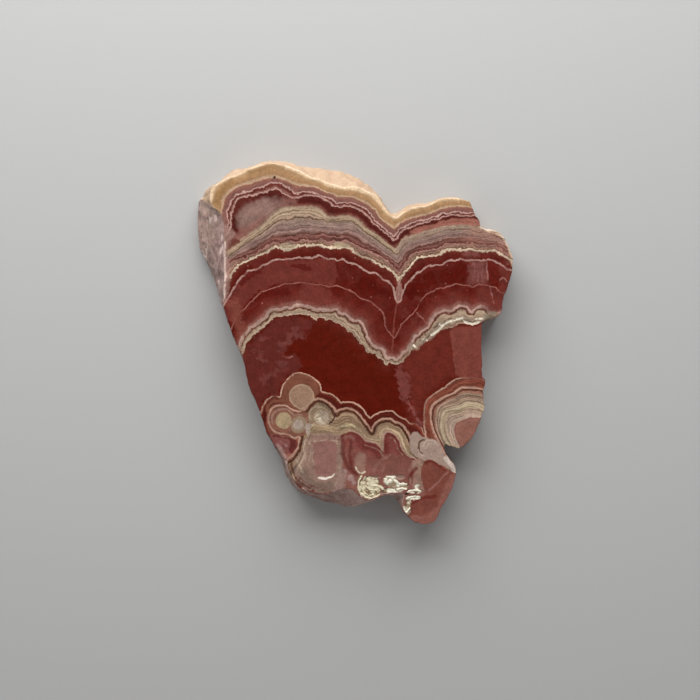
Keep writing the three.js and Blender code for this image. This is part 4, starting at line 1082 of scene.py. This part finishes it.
def newGroup(name, inputs, outputs):
    group = bpy.data.node_groups.new(name, "ShaderNodeTree")
    for label, kind, value in inputs:
        socket = group.interface.new_socket(label, in_out="INPUT", socket_type="NodeSocket" + kind)
        if value is not None:
            socket.default_value = value
    for label, kind in outputs:
        group.interface.new_socket(label, in_out="OUTPUT", socket_type="NodeSocket" + kind)
    return group, group.nodes.new("NodeGroupInput").outputs, group.nodes.new("NodeGroupOutput").inputs


def setInputs(tree, node, inputs):
    for key, value in inputs.items():
        if isinstance(value, bpy.types.NodeSocket):
            tree.links.new(value, node.inputs[key])
        else:
            node.inputs[key].default_value = value


def addNode(tree, kind, inputs=None, **settings):
    node = tree.nodes.new("ShaderNode" + kind)
    for key, value in settings.items():
        setattr(node, key, value)
    setInputs(tree, node, inputs or {})
    return node


def fillGroup(tree, group, inputs):
    node = tree.nodes.new("ShaderNodeGroup")
    node.node_tree = group
    setInputs(tree, node, inputs)
    return node.outputs


def calc(tree, operation, a, b=0.0, c=0.0):
    return addNode(tree, "Math", {0: a, 1: b, 2: c}, operation=operation).outputs[0]


def rise(tree, value, low, high, **settings):
    # 0 at low, 1 at high and level beyond them
    return addNode(tree, "MapRange", {0: value, 1: low, 2: high}, **settings).outputs[0]


def blendValue(tree, share, a, b):
    return addNode(tree, "Mix", {0: share, 2: a, 3: b}).outputs[0]


def blendColour(tree, share, a, b):
    return addNode(tree, "Mix", {0: share, 6: a, 7: b}, data_type="RGBA").outputs[2]


def parted(tree, vector):
    return addNode(tree, "SeparateXYZ", {0: vector}).outputs


def readField(tree, name):
    return addNode(tree, "Attribute", attribute_name=name).outputs


def noiseOver(tree, at, scale, detail, roughness=0.5, **settings):
    inputs = {"Vector": at, "Scale": scale, "Detail": detail, "Roughness": roughness}
    return addNode(tree, "TexNoise", inputs, **settings).outputs


def flatNoise(tree, x, y, detail):
    at = addNode(tree, "CombineXYZ", {0: x, 1: y}).outputs[0]
    return noiseOver(tree, at, 1.0, detail, noise_dimensions="2D")[0]


def bentPlace(tree, at, scale, reach, start):
    # the start place pushed about by noise
    bend = noiseOver(tree, at, scale, 3.0)["Color"]
    inputs = {0: bend, 1: (reach, reach, reach), 2: start}
    return addNode(tree, "VectorMath", inputs, operation="MULTIPLY_ADD").outputs[0]


def stopRamp(tree, growth, stops):
    # a colour ramp over (growth, colour) stops
    low, high = stops[0][0], stops[-1][0]
    ramp = addNode(tree, "ValToRGB", {0: rise(tree, growth, low, high)})
    elements = ramp.color_ramp.elements
    for number, (growthAt, colour) in enumerate(stops):
        position = (growthAt - low) / (high - low)
        element = elements[number] if number < 2 else elements.new(position)
        element.position = position
        element.color = colour
    return ramp.outputs[0]


def bandRamp(tree, growth, stops):
    # a ramp holds 32 stops, so a long list of (growth, colour as seen) goes over several in turn
    colour = None
    for first in range(0, len(stops) - 1, 30):
        some = [(growthAt, linear(seen)) for growthAt, seen in stops[first:first + 31]]
        tone = stopRamp(tree, growth, some)
        if colour is None:
            colour = tone
        else:
            passed = calc(tree, "GREATER_THAN", growth, some[0][0])
            colour = blendColour(tree, passed, colour, tone)
    return colour


# crinkled fronts, with fine growth lines along the bands and crystal fibres across them
tree, given, made = newGroup(
    "growthLines",
    [("Field", "Vector", None), ("Place", "Vector", None), ("Lines", "Float", 7.0),
     ("Fibres", "Float", 2.6), ("Crinkle", "Float", 0.16), ("Crinkle Size", "Float", 0.62)],
    [("Growth", "Float"), ("Rate", "Float"), ("Line", "Float"), ("Fibre", "Float")],
)
growthLines = tree
passedFronts, along, rate = parted(tree, given["Field"])
crinkleScale = calc(tree, "DIVIDE", 1.0, given["Crinkle Size"])
wave = noiseOver(tree, given["Place"], crinkleScale, 2.0)[0]
bulge = addNode(tree, "TexVoronoi", {"Vector": given["Place"], "Scale": crinkleScale}).outputs["Distance"]
tooth = flatNoise(tree, calc(tree, "MULTIPLY", along, 2.4), passedFronts, 1.0)
shift = calc(tree, "MULTIPLY", calc(tree, "SUBTRACT", wave, 0.5), 3.0)
shift = calc(tree, "MULTIPLY_ADD", calc(tree, "SUBTRACT", tooth, 0.5), 1.2, shift)
shift = calc(tree, "ADD", shift, calc(tree, "SUBTRACT", calc(tree, "POWER", bulge, 2.0), 0.2))
shift = calc(tree, "MULTIPLY", calc(tree, "MULTIPLY", shift, given["Crinkle"]), rate)
growth = calc(tree, "ADD", passedFronts, shift)
lineAcross = calc(tree, "MULTIPLY", growth, given["Lines"])
line = flatNoise(tree, lineAcross, calc(tree, "MULTIPLY", along, 0.16), 2.0)
fibreAlong = calc(tree, "MULTIPLY", along, given["Fibres"])
fibre = flatNoise(tree, calc(tree, "MULTIPLY", passedFronts, 0.9), fibreAlong, 2.0)
tree.links.new(growth, made["Growth"])
tree.links.new(calc(tree, "MAXIMUM", rate, 0.05), made["Rate"])
tree.links.new(rise(tree, line, 0.36, 0.64), made["Line"])
tree.links.new(fibre, made["Fibre"])

# a mark's cover from its distance field
tree, given, made = newGroup(
    "markCover",
    [("Distance", "Float", 0.0), ("Place", "Vector", None), ("Soft", "Float", 0.2),
     ("Ragged", "Float", 0.1), ("Cover", "Float", 1.0)],
    [("Share", "Float")],
)
markCover = tree
wander = calc(tree, "SUBTRACT", noiseOver(tree, given["Place"], 1.3, 3.0)[0], 0.5)
ragged = calc(tree, "MULTIPLY", given["Ragged"], 3.0)
moved = calc(tree, "MULTIPLY_ADD", wander, ragged, given["Distance"])
half = calc(tree, "MULTIPLY", given["Soft"], 0.5)
share = rise(tree, moved, calc(tree, "MULTIPLY", half, -1.0), half, interpolation_type="SMOOTHSTEP")
tree.links.new(calc(tree, "MULTIPLY", share, given["Cover"]), made["Share"])

# clear and milky blocks of crystal, with pale specks
tree, given, made = newGroup(
    "crystalClarity",
    [("Place", "Vector", None), ("Block Size", "Float", 3.4), ("Speck Size", "Float", 1.1)],
    [("Milk", "Float"), ("Speck", "Float")],
)
crystalClarity = tree
bent = bentPlace(tree, given["Place"], 0.5, 2.6, given["Place"])
blockScale = calc(tree, "DIVIDE", 1.0, given["Block Size"])
block = addNode(tree, "TexVoronoi", {"Vector": bent, "Scale": blockScale}).outputs["Color"]
milk = noiseOver(tree, given["Place"], 0.42, 7.0, 0.74)[0]
milky = calc(tree, "MULTIPLY_ADD", parted(tree, block)[0], 0.22, milk)
speckScale = calc(tree, "DIVIDE", 1.0, given["Speck Size"])
speck = addNode(tree, "TexVoronoi", {"Vector": given["Place"], "Scale": speckScale}).outputs
speckReach = calc(tree, "MULTIPLY_ADD", parted(tree, speck["Color"])[1], 0.22, -0.08)
speckShare = rise(tree, calc(tree, "SUBTRACT", speckReach, speck["Distance"]), -0.04, 0.04)
tree.links.new(rise(tree, milky, 0.56, 0.8), made["Milk"])
tree.links.new(speckShare, made["Speck"])

# cloudy and speckled variation inside the stone, and a matching height
tree, given, made = newGroup(
    "stoneGrain",
    [("Place", "Vector", None), ("Cloud Size", "Float", 2.0), ("Grain Size", "Float", 0.3)],
    [("Cloud", "Float"), ("Grain", "Float"), ("Height", "Float")],
)
stoneGrain = tree
cloud = noiseOver(tree, given["Place"], calc(tree, "DIVIDE", 1.0, given["Cloud Size"]), 5.0, 0.65)[0]
grain = noiseOver(tree, given["Place"], calc(tree, "DIVIDE", 1.0, given["Grain Size"]), 3.0, 0.7)[0]
tree.links.new(cloud, made["Cloud"])
tree.links.new(grain, made["Grain"])
tree.links.new(calc(tree, "MULTIPLY_ADD", cloud, 0.5, grain), made["Height"])

# band colours by growth: whole numbers are the fronts above, under 0 is crust in mm
downwardColours = [
    (-3, (201, 165, 135)), (-1.2, (212, 181, 151)), (-0.5, (220, 191, 159)), (-0.1, (208, 177, 142)),
    (0.03, (184, 153, 121)), (0.12, (168, 135, 102)), (0.45, (162, 124, 87)), (0.72, (150, 115, 84)),
    (0.8, (168, 137, 110)), (0.98, (175, 142, 114)), (1.06, (142, 93, 76)), (1.35, (127, 87, 78)),
    (1.75, (121, 78, 70)), (1.95, (140, 95, 85)), (2.1, (110, 57, 49)), (2.5, (88, 38, 32)),
    (2.7, (129, 87, 77)), (2.95, (119, 70, 61)), (3.1, (84, 33, 27)), (3.45, (74, 25, 21)),
    (3.62, (84, 36, 30)), (3.84, (118, 72, 62)), (3.92, (142, 116, 98)), (4.1, (164, 142, 119)),
    (4.3, (159, 137, 114)), (4.36, (134, 107, 85)), (4.43, (163, 140, 116)), (4.8, (151, 126, 106)),
    (5.1, (146, 121, 106)), (5.25, (148, 126, 112)), (5.35, (133, 108, 98)), (5.7, (138, 113, 103)),
    (5.9, (124, 98, 90)), (6.1, (139, 110, 102)), (6.4, (132, 101, 92)), (6.48, (96, 59, 50)),
    (6.6, (95, 56, 46)), (6.66, (126, 88, 80)), (6.85, (110, 68, 60)), (7.1, (144, 103, 93)),
    (7.3, (142, 104, 93)), (7.38, (125, 91, 78)), (7.5, (131, 98, 83)), (7.58, (161, 135, 114)),
    (7.66, (136, 102, 85)), (7.76, (159, 129, 108)), (7.86, (131, 98, 81)), (7.94, (170, 142, 119)),
    (8.08, (119, 64, 53)), (8.2, (94, 39, 30)), (8.5, (88, 29, 22)), (8.86, (82, 20, 13)),
    (8.95, (96, 36, 28)), (9.05, (88, 24, 16)), (9.3, (79, 16, 9)), (9.85, (84, 19, 11)),
    (10.1, (85, 19, 11)), (10.4, (92, 28, 20)), (10.74, (106, 48, 40)), (10.9, (134, 90, 80)),
    (11.08, (130, 86, 77)), (11.18, (146, 116, 98)), (11.3, (164, 140, 118)), (11.5, (160, 136, 114)),
    (11.56, (168, 145, 123)), (11.62, (118, 86, 70)), (11.69, (164, 142, 121)), (11.79, (170, 149, 126)),
    (11.86, (110, 74, 60)), (11.93, (168, 144, 124)), (12.01, (120, 70, 56)), (12.08, (88, 30, 18)),
    (12.5, (84, 20, 8)), (20, (86, 19, 7)),
]
upwardColours = [
    (-0.3, (96, 28, 14)), (-0.15, (114, 46, 31)), (0, (135, 83, 64)), (0.15, (112, 52, 40)),
    (0.3, (80, 28, 20)), (0.75, (82, 29, 21)), (0.95, (129, 81, 67)), (1.1, (127, 81, 64)),
    (1.4, (112, 71, 56)), (1.8, (92, 58, 44)), (2.02, (127, 98, 77)), (2.1, (139, 112, 90)),
    (2.22, (149, 124, 100)), (2.27, (116, 89, 69)), (2.33, (150, 125, 101)), (2.39, (116, 89, 69)),
    (2.45, (152, 127, 104)), (2.51, (119, 92, 71)), (2.58, (168, 146, 118)), (2.68, (175, 153, 125)),
    (2.76, (146, 118, 95)), (2.86, (156, 127, 106)), (2.95, (139, 102, 87)), (3.08, (112, 56, 50)),
    (4.2, (118, 62, 56)), (6, (128, 79, 70)), (9, (133, 87, 77)),
]
rosetteColours = [
    (-0.3, (111, 45, 35)), (0, (139, 86, 71)), (0.15, (120, 62, 48)), (0.3, (122, 67, 52)),
    (0.8, (124, 69, 54)), (0.95, (143, 96, 79)), (1.2, (150, 105, 88)), (1.4, (120, 75, 60)),
    (1.8, (98, 58, 46)), (2.15, (120, 77, 62)), (2.4, (139, 98, 81)), (2.85, (141, 103, 86)),
    (3, (163, 136, 116)), (3.15, (160, 135, 116)), (3.24, (120, 90, 73)), (3.34, (160, 135, 116)),
    (3.5, (156, 131, 111)), (3.56, (118, 90, 74)), (3.66, (169, 148, 126)), (3.95, (175, 156, 128)),
    (4.1, (178, 158, 131)), (4.22, (148, 122, 104)), (4.32, (169, 147, 126)), (4.55, (152, 126, 109)),
    (4.62, (171, 148, 129)), (4.8, (156, 131, 114)), (4.92, (180, 156, 138)), (5, (169, 139, 123)),
    (5.08, (143, 98, 86)), (6.5, (137, 91, 79)), (9, (140, 94, 81)),
]

# thin lines that follow one front each: front, mm past it, half width in mm, cover and colour
downwardDark = [
    (2, 0.27, 0.1, 0.75, (92, 42, 35)), (3, 0.3, 0.16, 0.8, (84, 34, 29)),
    (5, 0, 0.12, 0.8, (84, 62, 40)), (6, 0.02, 0.06, 0.7, (98, 70, 62)), (7, 0, 0.13, 0.85, (80, 36, 30)),
    (8, -0.36, 0.09, 0.8, (92, 44, 36)), (9, 0.24, 0.1, 0.5, (74, 16, 10)),
    (10, 0.14, 0.08, 0.4, (78, 16, 10)), (11, 0.47, 0.14, 0.92, (84, 40, 32)),
    (12, 0.12, 0.12, 0.6, (78, 26, 15)),
]
downwardPale = [
    (0, -0.3, 0.14, 0.3, (214, 190, 158)), (1, -0.13, 0.12, 0.6, (180, 150, 124)),
    (2, 0, 0.11, 0.9, (184, 150, 139)), (3, 0, 0.11, 0.9, (178, 141, 130)),
    (7, 0.3, 0.08, 0.5, (152, 112, 102)), (8, 0, 0.18, 0.9, (196, 176, 152)),
    (9, 0, 0.14, 0.95, (174, 138, 127)), (10, 0, 0.09, 0.9, (156, 101, 91)),
    (11, 0, 0.19, 0.85, (174, 143, 131)), (12, -0.1, 0.09, 0.75, (186, 163, 142)),
]
upwardDark = [
    (1, 0.3, 0.06, 0.4, (92, 52, 38)), (2, 0.08, 0.16, 0.92, (68, 31, 20)),
    (3, 0.3, 0.12, 0.5, (94, 40, 35)),
]
upwardPale = [
    (0, 0, 0.12, 0.9, (180, 145, 126)), (1, 0.05, 0.16, 0.9, (174, 137, 119)),
    (3, -0.1, 0.1, 0.7, (168, 140, 124)),
]
rosetteDark = [
    (2, 0, 0.1, 0.75, (84, 48, 38)), (3, 0.25, 0.07, 0.7, (104, 74, 60)),
    (4, 0.2, 0.06, 0.55, (118, 92, 74)), (5, 0.2, 0.1, 0.4, (112, 68, 58)),
]
rosettePale = [
    (0, 0, 0.15, 0.9, (184, 148, 130)), (1, 0.05, 0.17, 0.9, (178, 141, 123)),
    (3, 0, 0.1, 0.8, (166, 140, 120)), (4, 0, 0.14, 0.8, (172, 154, 127)),
    (5, -0.2, 0.12, 0.5, (172, 150, 134)),
]

# by growth: where the fine lines show, where the stone is clear enough for milk and specks to show,
# and how strongly the bands crinkle
lineZones = [
    (-1, 0.05), (0.9, 0.1), (1.1, 0.4), (4, 0.4), (4.2, 1), (8.1, 1), (8.3, 0.1), (10.8, 0.1), (11, 0.5),
    (11.9, 0.7), (12.1, 0.06), (13, 0.04),
]
clearZones = [
    (8.1, 0), (8.25, 0.7), (8.85, 0.7), (9.1, 1), (10.9, 1), (10.98, 0), (11.9, 0), (12.05, 0.8),
    (13, 0.4), (14.5, 0.12),
]
crinkleZones = [
    (-1, 0.2), (0.5, 0.3), (1.5, 0.8), (2, 1.1), (2.6, 0.9), (3.1, 1.2), (4.2, 0.7), (6, 0.8), (6.8, 1.2),
    (7.6, 1.5), (8.3, 1.4), (8.7, 0.8), (9.3, 0.6), (9.8, 0.5), (10.3, 0.5), (10.9, 0.7), (11.4, 1.1),
    (12.2, 1.2), (13, 0.3),
]

# a thin line a given distance past the nearest front, with a soft edge
tree, given, made = newGroup(
    "frontLine",
    [("Past Front", "Float", 0.0), ("Offset", "Float", 0.0), ("Half Width", "Float", 0.1),
     ("Cover", "Float", 1.0), ("Soft", "Float", 0.07)],
    [("Share", "Float")],
)
frontLine = tree
away = calc(tree, "ABSOLUTE", calc(tree, "SUBTRACT", given["Past Front"], given["Offset"]))
outer = calc(tree, "ADD", given["Half Width"], given["Soft"])
inner = calc(tree, "SUBTRACT", given["Half Width"], given["Soft"])
edge = rise(tree, away, outer, inner, interpolation_type="SMOOTHSTEP")
tree.links.new(calc(tree, "MULTIPLY", edge, given["Cover"]), made["Share"])

# the stone's colour: bands, their thin lines, milk and specks, then the marks over them
tree, given, made = newGroup(
    "bandedStone",
    [("Place", "Vector", None), ("Line Strength", "Float", 0.2), ("Fibre Strength", "Float", 0.1),
     ("Cloud Strength", "Float", 0.12), ("Grain Strength", "Float", 0.1), ("Milk", "Float", 0.48),
     ("Mark Strength", "Float", 1.0)],
    [("Color", "Color")],
)
bandedStone = tree


def byFront(number, last, values):
    # a value for each front, read from a stepped ramp
    share = calc(bandedStone, "DIVIDE", calc(bandedStone, "ADD", number, 0.5), last + 1)
    ramp = addNode(bandedStone, "ValToRGB", {0: share})
    ramp.color_ramp.interpolation = "CONSTANT"
    elements = ramp.color_ramp.elements
    for front in range(last + 1):
        element = elements[front] if front < 2 else elements.new(front / (last + 1))
        element.position = front / (last + 1)
        element.color = values.get(front, (0, 0, 0, 0))
    return ramp.outputs


def addFrontLines(colour, outputs, last, table):
    # the ramp holds each offset with 0.5 added, because it can't hold values under 0
    number = calc(bandedStone, "MINIMUM", calc(bandedStone, "ROUND", outputs["Growth"]), last)
    past = calc(bandedStone, "SUBTRACT", outputs["Growth"], number)
    past = calc(bandedStone, "DIVIDE", past, outputs["Rate"])
    toneOf = {front: linear(seen)[:3] + (cover,) for front, _, _, cover, seen in table}
    shapeOf = {front: (offset + 0.5, half, 0, 1) for front, offset, half, _, _ in table}
    tones = byFront(number, last, toneOf)
    shapes = byFront(number, last, shapeOf)
    shape = addNode(bandedStone, "SeparateColor", {0: shapes["Color"]}).outputs
    share = fillGroup(bandedStone, frontLine, {
        "Past Front": past, "Offset": calc(bandedStone, "SUBTRACT", shape[0], 0.5), "Half Width": shape[1],
        "Cover": tones["Alpha"],
    })["Share"]
    return blendColour(bandedStone, share, colour, tones["Color"])


def growthColours(field, stops, lines, crinkle, darkLines, paleLines):
    outputs = fillGroup(bandedStone, growthLines, {
        "Field": field, "Lines": lines, "Place": given["Place"], "Crinkle": crinkle,
    })
    colour = bandRamp(bandedStone, outputs["Growth"], stops)
    last = max(front for front, *_ in paleLines + darkLines)
    colour = addFrontLines(colour, outputs, last, darkLines)
    colour = addFrontLines(colour, outputs, last, paleLines)
    return colour, outputs


def zoneValue(growth, zones):
    stops = [(growthAt, (value, value, value, 1)) for growthAt, value in zones]
    return stopRamp(bandedStone, growth, stops)


even = 0.5  # a line or fibre value that neither darkens nor lightens
field = readField(tree, "downwardGrowth")["Vector"]
crinkle = zoneValue(parted(tree, field)[0], crinkleZones)
crinkle = calc(tree, "MULTIPLY", crinkle, sliceStone["bandCrinkle"])
colour, downward = growthColours(
    field, downwardColours, sliceStone["bandLines"], crinkle, downwardDark, downwardPale)
clarity = fillGroup(tree, crystalClarity, {"Place": given["Place"]})
clear = zoneValue(downward["Growth"], clearZones)
milky = calc(tree, "MULTIPLY", calc(tree, "MULTIPLY", clarity["Milk"], clear), given["Milk"])
colour = blendColour(tree, milky, colour, stoneColour("milkColour"))
specked = calc(tree, "MULTIPLY", clarity["Speck"], clear)
specked = calc(tree, "MULTIPLY", specked, sliceStone["speckCover"])
colour = blendColour(tree, specked, colour, stoneColour("speckColour"))
line = blendValue(tree, zoneValue(downward["Growth"], lineZones), even, downward["Line"])
fibre = downward["Fibre"]
for fieldName, stops, darkLines, paleLines, lastFine in (
    ("upwardGrowth", upwardColours, upwardDark, upwardPale, 2.8),
    ("rosetteGrowth", rosetteColours, rosetteDark, rosettePale, 4.9),
):
    field = readField(tree, fieldName)["Vector"]
    over, outputs = growthColours(
        field, stops, sliceStone["roundLines"], sliceStone["roundCrinkle"], darkLines, paleLines)
    inside = rise(tree, outputs["Growth"], -0.2, -0.1)
    colour = blendColour(tree, inside, colour, over)
    fineHere = rise(tree, outputs["Growth"], lastFine + 0.3, lastFine)
    lineHere = blendValue(tree, fineHere, even, outputs["Line"])
    line = blendValue(tree, inside, line, lineHere)
    fibre = blendValue(tree, inside, fibre, outputs["Fibre"])
for name, drawn in marks.items():
    cover = fillGroup(tree, markCover, {
        "Distance": readField(tree, name)["Fac"], "Place": given["Place"], "Soft": drawn["soft"],
        "Ragged": drawn["ragged"], "Cover": calc(tree, "MULTIPLY", given["Mark Strength"], drawn["cover"]),
    })["Share"]
    colour = blendColour(tree, cover, colour, linear(drawn["colour"]))
    if drawn["plain"]:
        line = blendValue(tree, cover, line, even)
        fibre = blendValue(tree, cover, fibre, even)
grained = fillGroup(tree, stoneGrain, {"Place": given["Place"], **sliceStone["bandGrain"]})
shade = 1.0
for amount, strength in (
    (line, "Line Strength"), (fibre, "Fibre Strength"),
    (grained["Cloud"], "Cloud Strength"), (grained["Grain"], "Grain Strength"),
):
    swing = calc(tree, "MULTIPLY", calc(tree, "SUBTRACT", amount, even), 2.0)
    shade = calc(tree, "MULTIPLY_ADD", swing, given[strength], shade)
shaded = addNode(tree, "VectorMath", {0: colour, 1: shade}, operation="MULTIPLY").outputs[0]
tree.links.new(shaded, made["Color"])
print("shader groups made")


def newMaterial(name):
    material = bpy.data.materials.new(name)
    material.use_nodes = True
    tree = material.node_tree
    at = addNode(tree, "TexCoord").outputs["Object"]
    inMm = addNode(tree, "VectorMath", {0: at, 3: 1 / mm}, operation="SCALE").outputs[0]
    return material, tree, tree.nodes["Principled BSDF"], inMm


def addBump(tree, shader, height, part):
    distance, strength = sliceStone["bumpHeight"][part] * mm, sliceStone["bumpStrength"][part]
    bump = addNode(tree, "Bump", {"Height": height, "Distance": distance, "Strength": strength})
    tree.links.new(bump.outputs[0], shader.inputs["Normal"])


finish = sliceStone["roughness"]
polishedFace, tree, shader, inMm = newMaterial("polishedFace")
stone = fillGroup(tree, bandedStone, {"Place": inMm, **sliceStone["faceBands"]})
grained = fillGroup(tree, stoneGrain, {"Place": inMm, **sliceStone["crystalGrain"]})
inPocket = rise(tree, readField(tree, "pocket")["Fac"], -0.1, 0.6)
onCrystal = rise(tree, readField(tree, "crystal")["Fac"], -0.05, 0.2)
# painted shade: the crystal goes to crystalShade in the creases between knobs and keeps its lit colour on
# knob tops and ridges
clearOfCreaseShade = rise(tree, readField(tree, "relief")["Fac"], 0.1, 0.62)
whiter = rise(tree, parted(tree, inMm)[0], 4.6, 5.8)
# painted shade: the open pockets take pocketShade over the bands
pocketed = blendColour(tree, inPocket, stone["Color"], stoneColour("pocketShade"))
crystal = blendColour(tree, whiter, stoneColour("crystalCream"), stoneColour("crystalColour"))
crystal = blendColour(tree, clearOfCreaseShade, stoneColour("crystalShade"), crystal)
tree.links.new(blendColour(tree, onCrystal, pocketed, crystal), shader.inputs["Base Color"])
unpolished = calc(tree, "MAXIMUM", inPocket, onCrystal)
roughness = blendValue(tree, unpolished, finish["polish"], finish["crystal"])
tree.links.new(roughness, shader.inputs["Roughness"])
addBump(tree, shader, calc(tree, "MULTIPLY", grained["Height"], unpolished), "crystal")
shader.inputs["IOR"].default_value = 1.6
shader.inputs["Specular IOR Level"].default_value = 0.3

naturalCrust, tree, shader, inMm = newMaterial("naturalCrust")
grained = fillGroup(tree, stoneGrain, {"Place": inMm, **sliceStone["crustGrain"]})
cloudy = rise(tree, grained["Cloud"], 0.35, 0.65)
crust = blendColour(tree, cloudy, stoneColour("crustPeach"), stoneColour("crustPale"))
crust = blendColour(tree, 0.5, crust, stoneColour("crustColour"))
inCrease = rise(tree, readField(tree, "relief")["Fac"], 0.45, 0.1)
crust = blendColour(tree, calc(tree, "MULTIPLY", inCrease, 0.5), crust, stoneColour("crustPeach"))
tree.links.new(crust, shader.inputs["Base Color"])
addBump(tree, shader, grained["Height"], "crust")
shader.inputs["Roughness"].default_value = finish["crust"]

brokenEdge, tree, shader, inMm = newMaterial("brokenEdge")
stone = fillGroup(tree, bandedStone, {"Place": inMm, **sliceStone["edgeBands"]})
grained = fillGroup(tree, stoneGrain, {"Place": inMm, **sliceStone["edgeGrain"]})
cloudy = rise(tree, grained["Cloud"], 0.3, 0.7)
onLeft = rise(tree, parted(tree, inMm)[0], 0.0, -4.0)
facetAt = addNode(tree, "Mapping", {
    "Vector": inMm, "Rotation": (0.4, 0.2, 0.5), "Scale": (1.3, 0.45, 0.6),
}).outputs[0]
facet = addNode(tree, "TexVoronoi", {"Vector": facetAt, "Scale": 1.9, "Randomness": 1.0}).outputs["Color"]
facetTone = parted(tree, facet)
rindShade = calc(tree, "MULTIPLY_ADD", facetTone[0], 0.35, calc(tree, "MULTIPLY", cloudy, 0.7))
rind = blendColour(tree, rindShade, stoneColour("rindDark"), stoneColour("rindPale"))
flash = calc(tree, "GREATER_THAN", facetTone[1], 0.93)
rind = blendColour(tree, calc(tree, "MULTIPLY", flash, 0.7), rind, stoneColour("rindFlash"))
# painted light: the weathered colours are raised to make up for the light this side misses, facing away
# from the top window
weathered = blendColour(tree, cloudy, stoneColour("weatheredDarkWithPaintedLight"), stoneColour("weatheredPaleWithPaintedLight"))
seamAt = addNode(tree, "Mapping", {"Vector": inMm, "Scale": (0.45, 0.8, 1.1)}).outputs[0]
seamAt = bentPlace(tree, inMm, 0.7, 1.6, seamAt)
seam = addNode(tree, "TexVoronoi", {"Vector": seamAt, "Scale": 1.0},
               feature="DISTANCE_TO_EDGE").outputs["Distance"]
seamCover = calc(tree, "MULTIPLY_ADD", onLeft, 0.55, 0.15)
seamCover = calc(tree, "MULTIPLY", rise(tree, seam, 0.12, 0.03), seamCover)
weathered = blendColour(tree, seamCover, weathered, stoneColour("seamColour"))
colour = blendColour(tree, 0.15, stone["Color"], stoneColour("rindPale"))
rindCover = calc(tree, "MULTIPLY", readField(tree, "rindShare")["Fac"], 0.85)
colour = blendColour(tree, rindCover, colour, rind)
weatheredCover = calc(tree, "MULTIPLY_ADD", onLeft, -0.4, 0.88)
weatheredCover = calc(tree, "MULTIPLY", readField(tree, "weatheredShare")["Fac"], weatheredCover)
colour = blendColour(tree, weatheredCover, colour, weathered)
tree.links.new(colour, shader.inputs["Base Color"])
addBump(tree, shader, grained["Height"], "edge")
shader.inputs["Roughness"].default_value = finish["edge"]

sawnBack, tree, shader, inMm = newMaterial("sawnBack")
stone = fillGroup(tree, bandedStone, {"Place": inMm, **sliceStone["backBands"]})
grained = fillGroup(tree, stoneGrain, {"Place": inMm, **sliceStone["backGrain"]})
sawLines = addNode(tree, "TexWave", {"Vector": inMm, "Scale": 0.9, "Distortion": 0.6, "Detail": 1.0},
                   bands_direction="DIAGONAL").outputs["Fac"]
dusty = blendColour(tree, 0.22, stone["Color"], stoneColour("backDust"))
tree.links.new(dusty, shader.inputs["Base Color"])
addBump(tree, shader, calc(tree, "MULTIPLY_ADD", sawLines, 0.5, grained["Height"]), "back")
shader.inputs["Roughness"].default_value = finish["back"]

faceSlot, backSlot, crustSlot, edgeSlot = range(4)
for material in (polishedFace, sawnBack, naturalCrust, brokenEdge):
    mesh.materials.append(material)
onSide = np.arange(len(sideFaces))
crustHere = kindShares["crust"][onSide % loopCount] > 0.5
slots = np.full(len(mesh.polygons), faceSlot, np.int32)
slots[len(topFaces):sideStart] = backSlot
slots[sideStart:] = np.where(onSide < loopCount, faceSlot, np.where(crustHere, crustSlot, edgeSlot))
mesh.polygons.foreach_set("material_index", slots)
mesh.polygons.foreach_set("use_smooth", np.ones(len(mesh.polygons), bool))

stoneObject = bpy.data.objects.new("rhodochrositeStone", mesh)
bpy.context.scene.collection.objects.link(stoneObject)
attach(stoneObject, "root")
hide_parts(sliceNode)
print("stone placed")

tableLook = {"colour": (177, 177, 176), "roughness": 0.7, "specular": 0.2, "reach": 1}
reach = tableLook["reach"]
tableMesh = bpy.data.meshes.new("table")
tableCorners = [(-reach, -reach, 0), (reach, -reach, 0), (reach, reach, 0), (-reach, reach, 0)]
tableMesh.from_pydata(tableCorners, [], [(0, 1, 2, 3)])
table = bpy.data.objects.new("table", tableMesh)
bpy.context.scene.collection.objects.link(table)
tableFinish = bpy.data.materials.new("tableFinish")
tableFinish.use_nodes = True
tableShader = tableFinish.node_tree.nodes["Principled BSDF"]
tableShader.inputs["Base Color"].default_value = linear(tableLook["colour"])
tableShader.inputs["Roughness"].default_value = tableLook["roughness"]
tableShader.inputs["Specular IOR Level"].default_value = tableLook["specular"]
tableMesh.materials.append(tableFinish)

# places and sizes in m, power in W
lightLook = {
    "room": 0.03,
    "windows": {
        "topWindow": {"place": (-0.02, 0.22, 0.17), "power": 1.52, "width": 0.36, "height": 0.26},
        "leftFill": {"place": (-0.42, -0.06, 0.26), "power": 0.45, "width": 0.5, "height": 0.4},
        "rightFill": {"place": (0.42, -0.12, 0.28), "power": 0.4, "width": 0.5, "height": 0.4},
        "frontFill": {"place": (0.05, -0.42, 0.26), "power": 0.45, "width": 0.5, "height": 0.3},
    },
}
world = bpy.data.worlds.new("room")
bpy.context.scene.world = world
world.use_nodes = True
background = world.node_tree.nodes["Background"]
background.inputs["Color"].default_value = (1, 1, 1, 1)
background.inputs["Strength"].default_value = lightLook["room"]
for name, window in lightLook["windows"].items():
    light = bpy.data.lights.new(name, "AREA")
    light.shape = "RECTANGLE"
    light.energy = window["power"]
    light.size = window["width"]
    light.size_y = window["height"]
    lamp = bpy.data.objects.new(name, light)
    lamp.location = window["place"]
    lamp.rotation_euler = (-Vector(window["place"])).to_track_quat("-Z", "Y").to_euler()
    bpy.context.scene.collection.objects.link(lamp)

cameraLook = {"lens": 85, "sensor": 36, "nearest": 0.01, "place": (-0.00064, -0.00145, 0.2885)}
cameraData = bpy.data.cameras.new("overhead")
cameraData.lens = cameraLook["lens"]
cameraData.sensor_width = cameraLook["sensor"]
cameraData.clip_start = cameraLook["nearest"]
camera = bpy.data.objects.new("overhead", cameraData)
camera.location = cameraLook["place"]
bpy.context.scene.collection.objects.link(camera)
bpy.context.scene.camera = camera
bpy.context.scene.view_settings.view_transform = "Standard"
print("table, light and camera set")
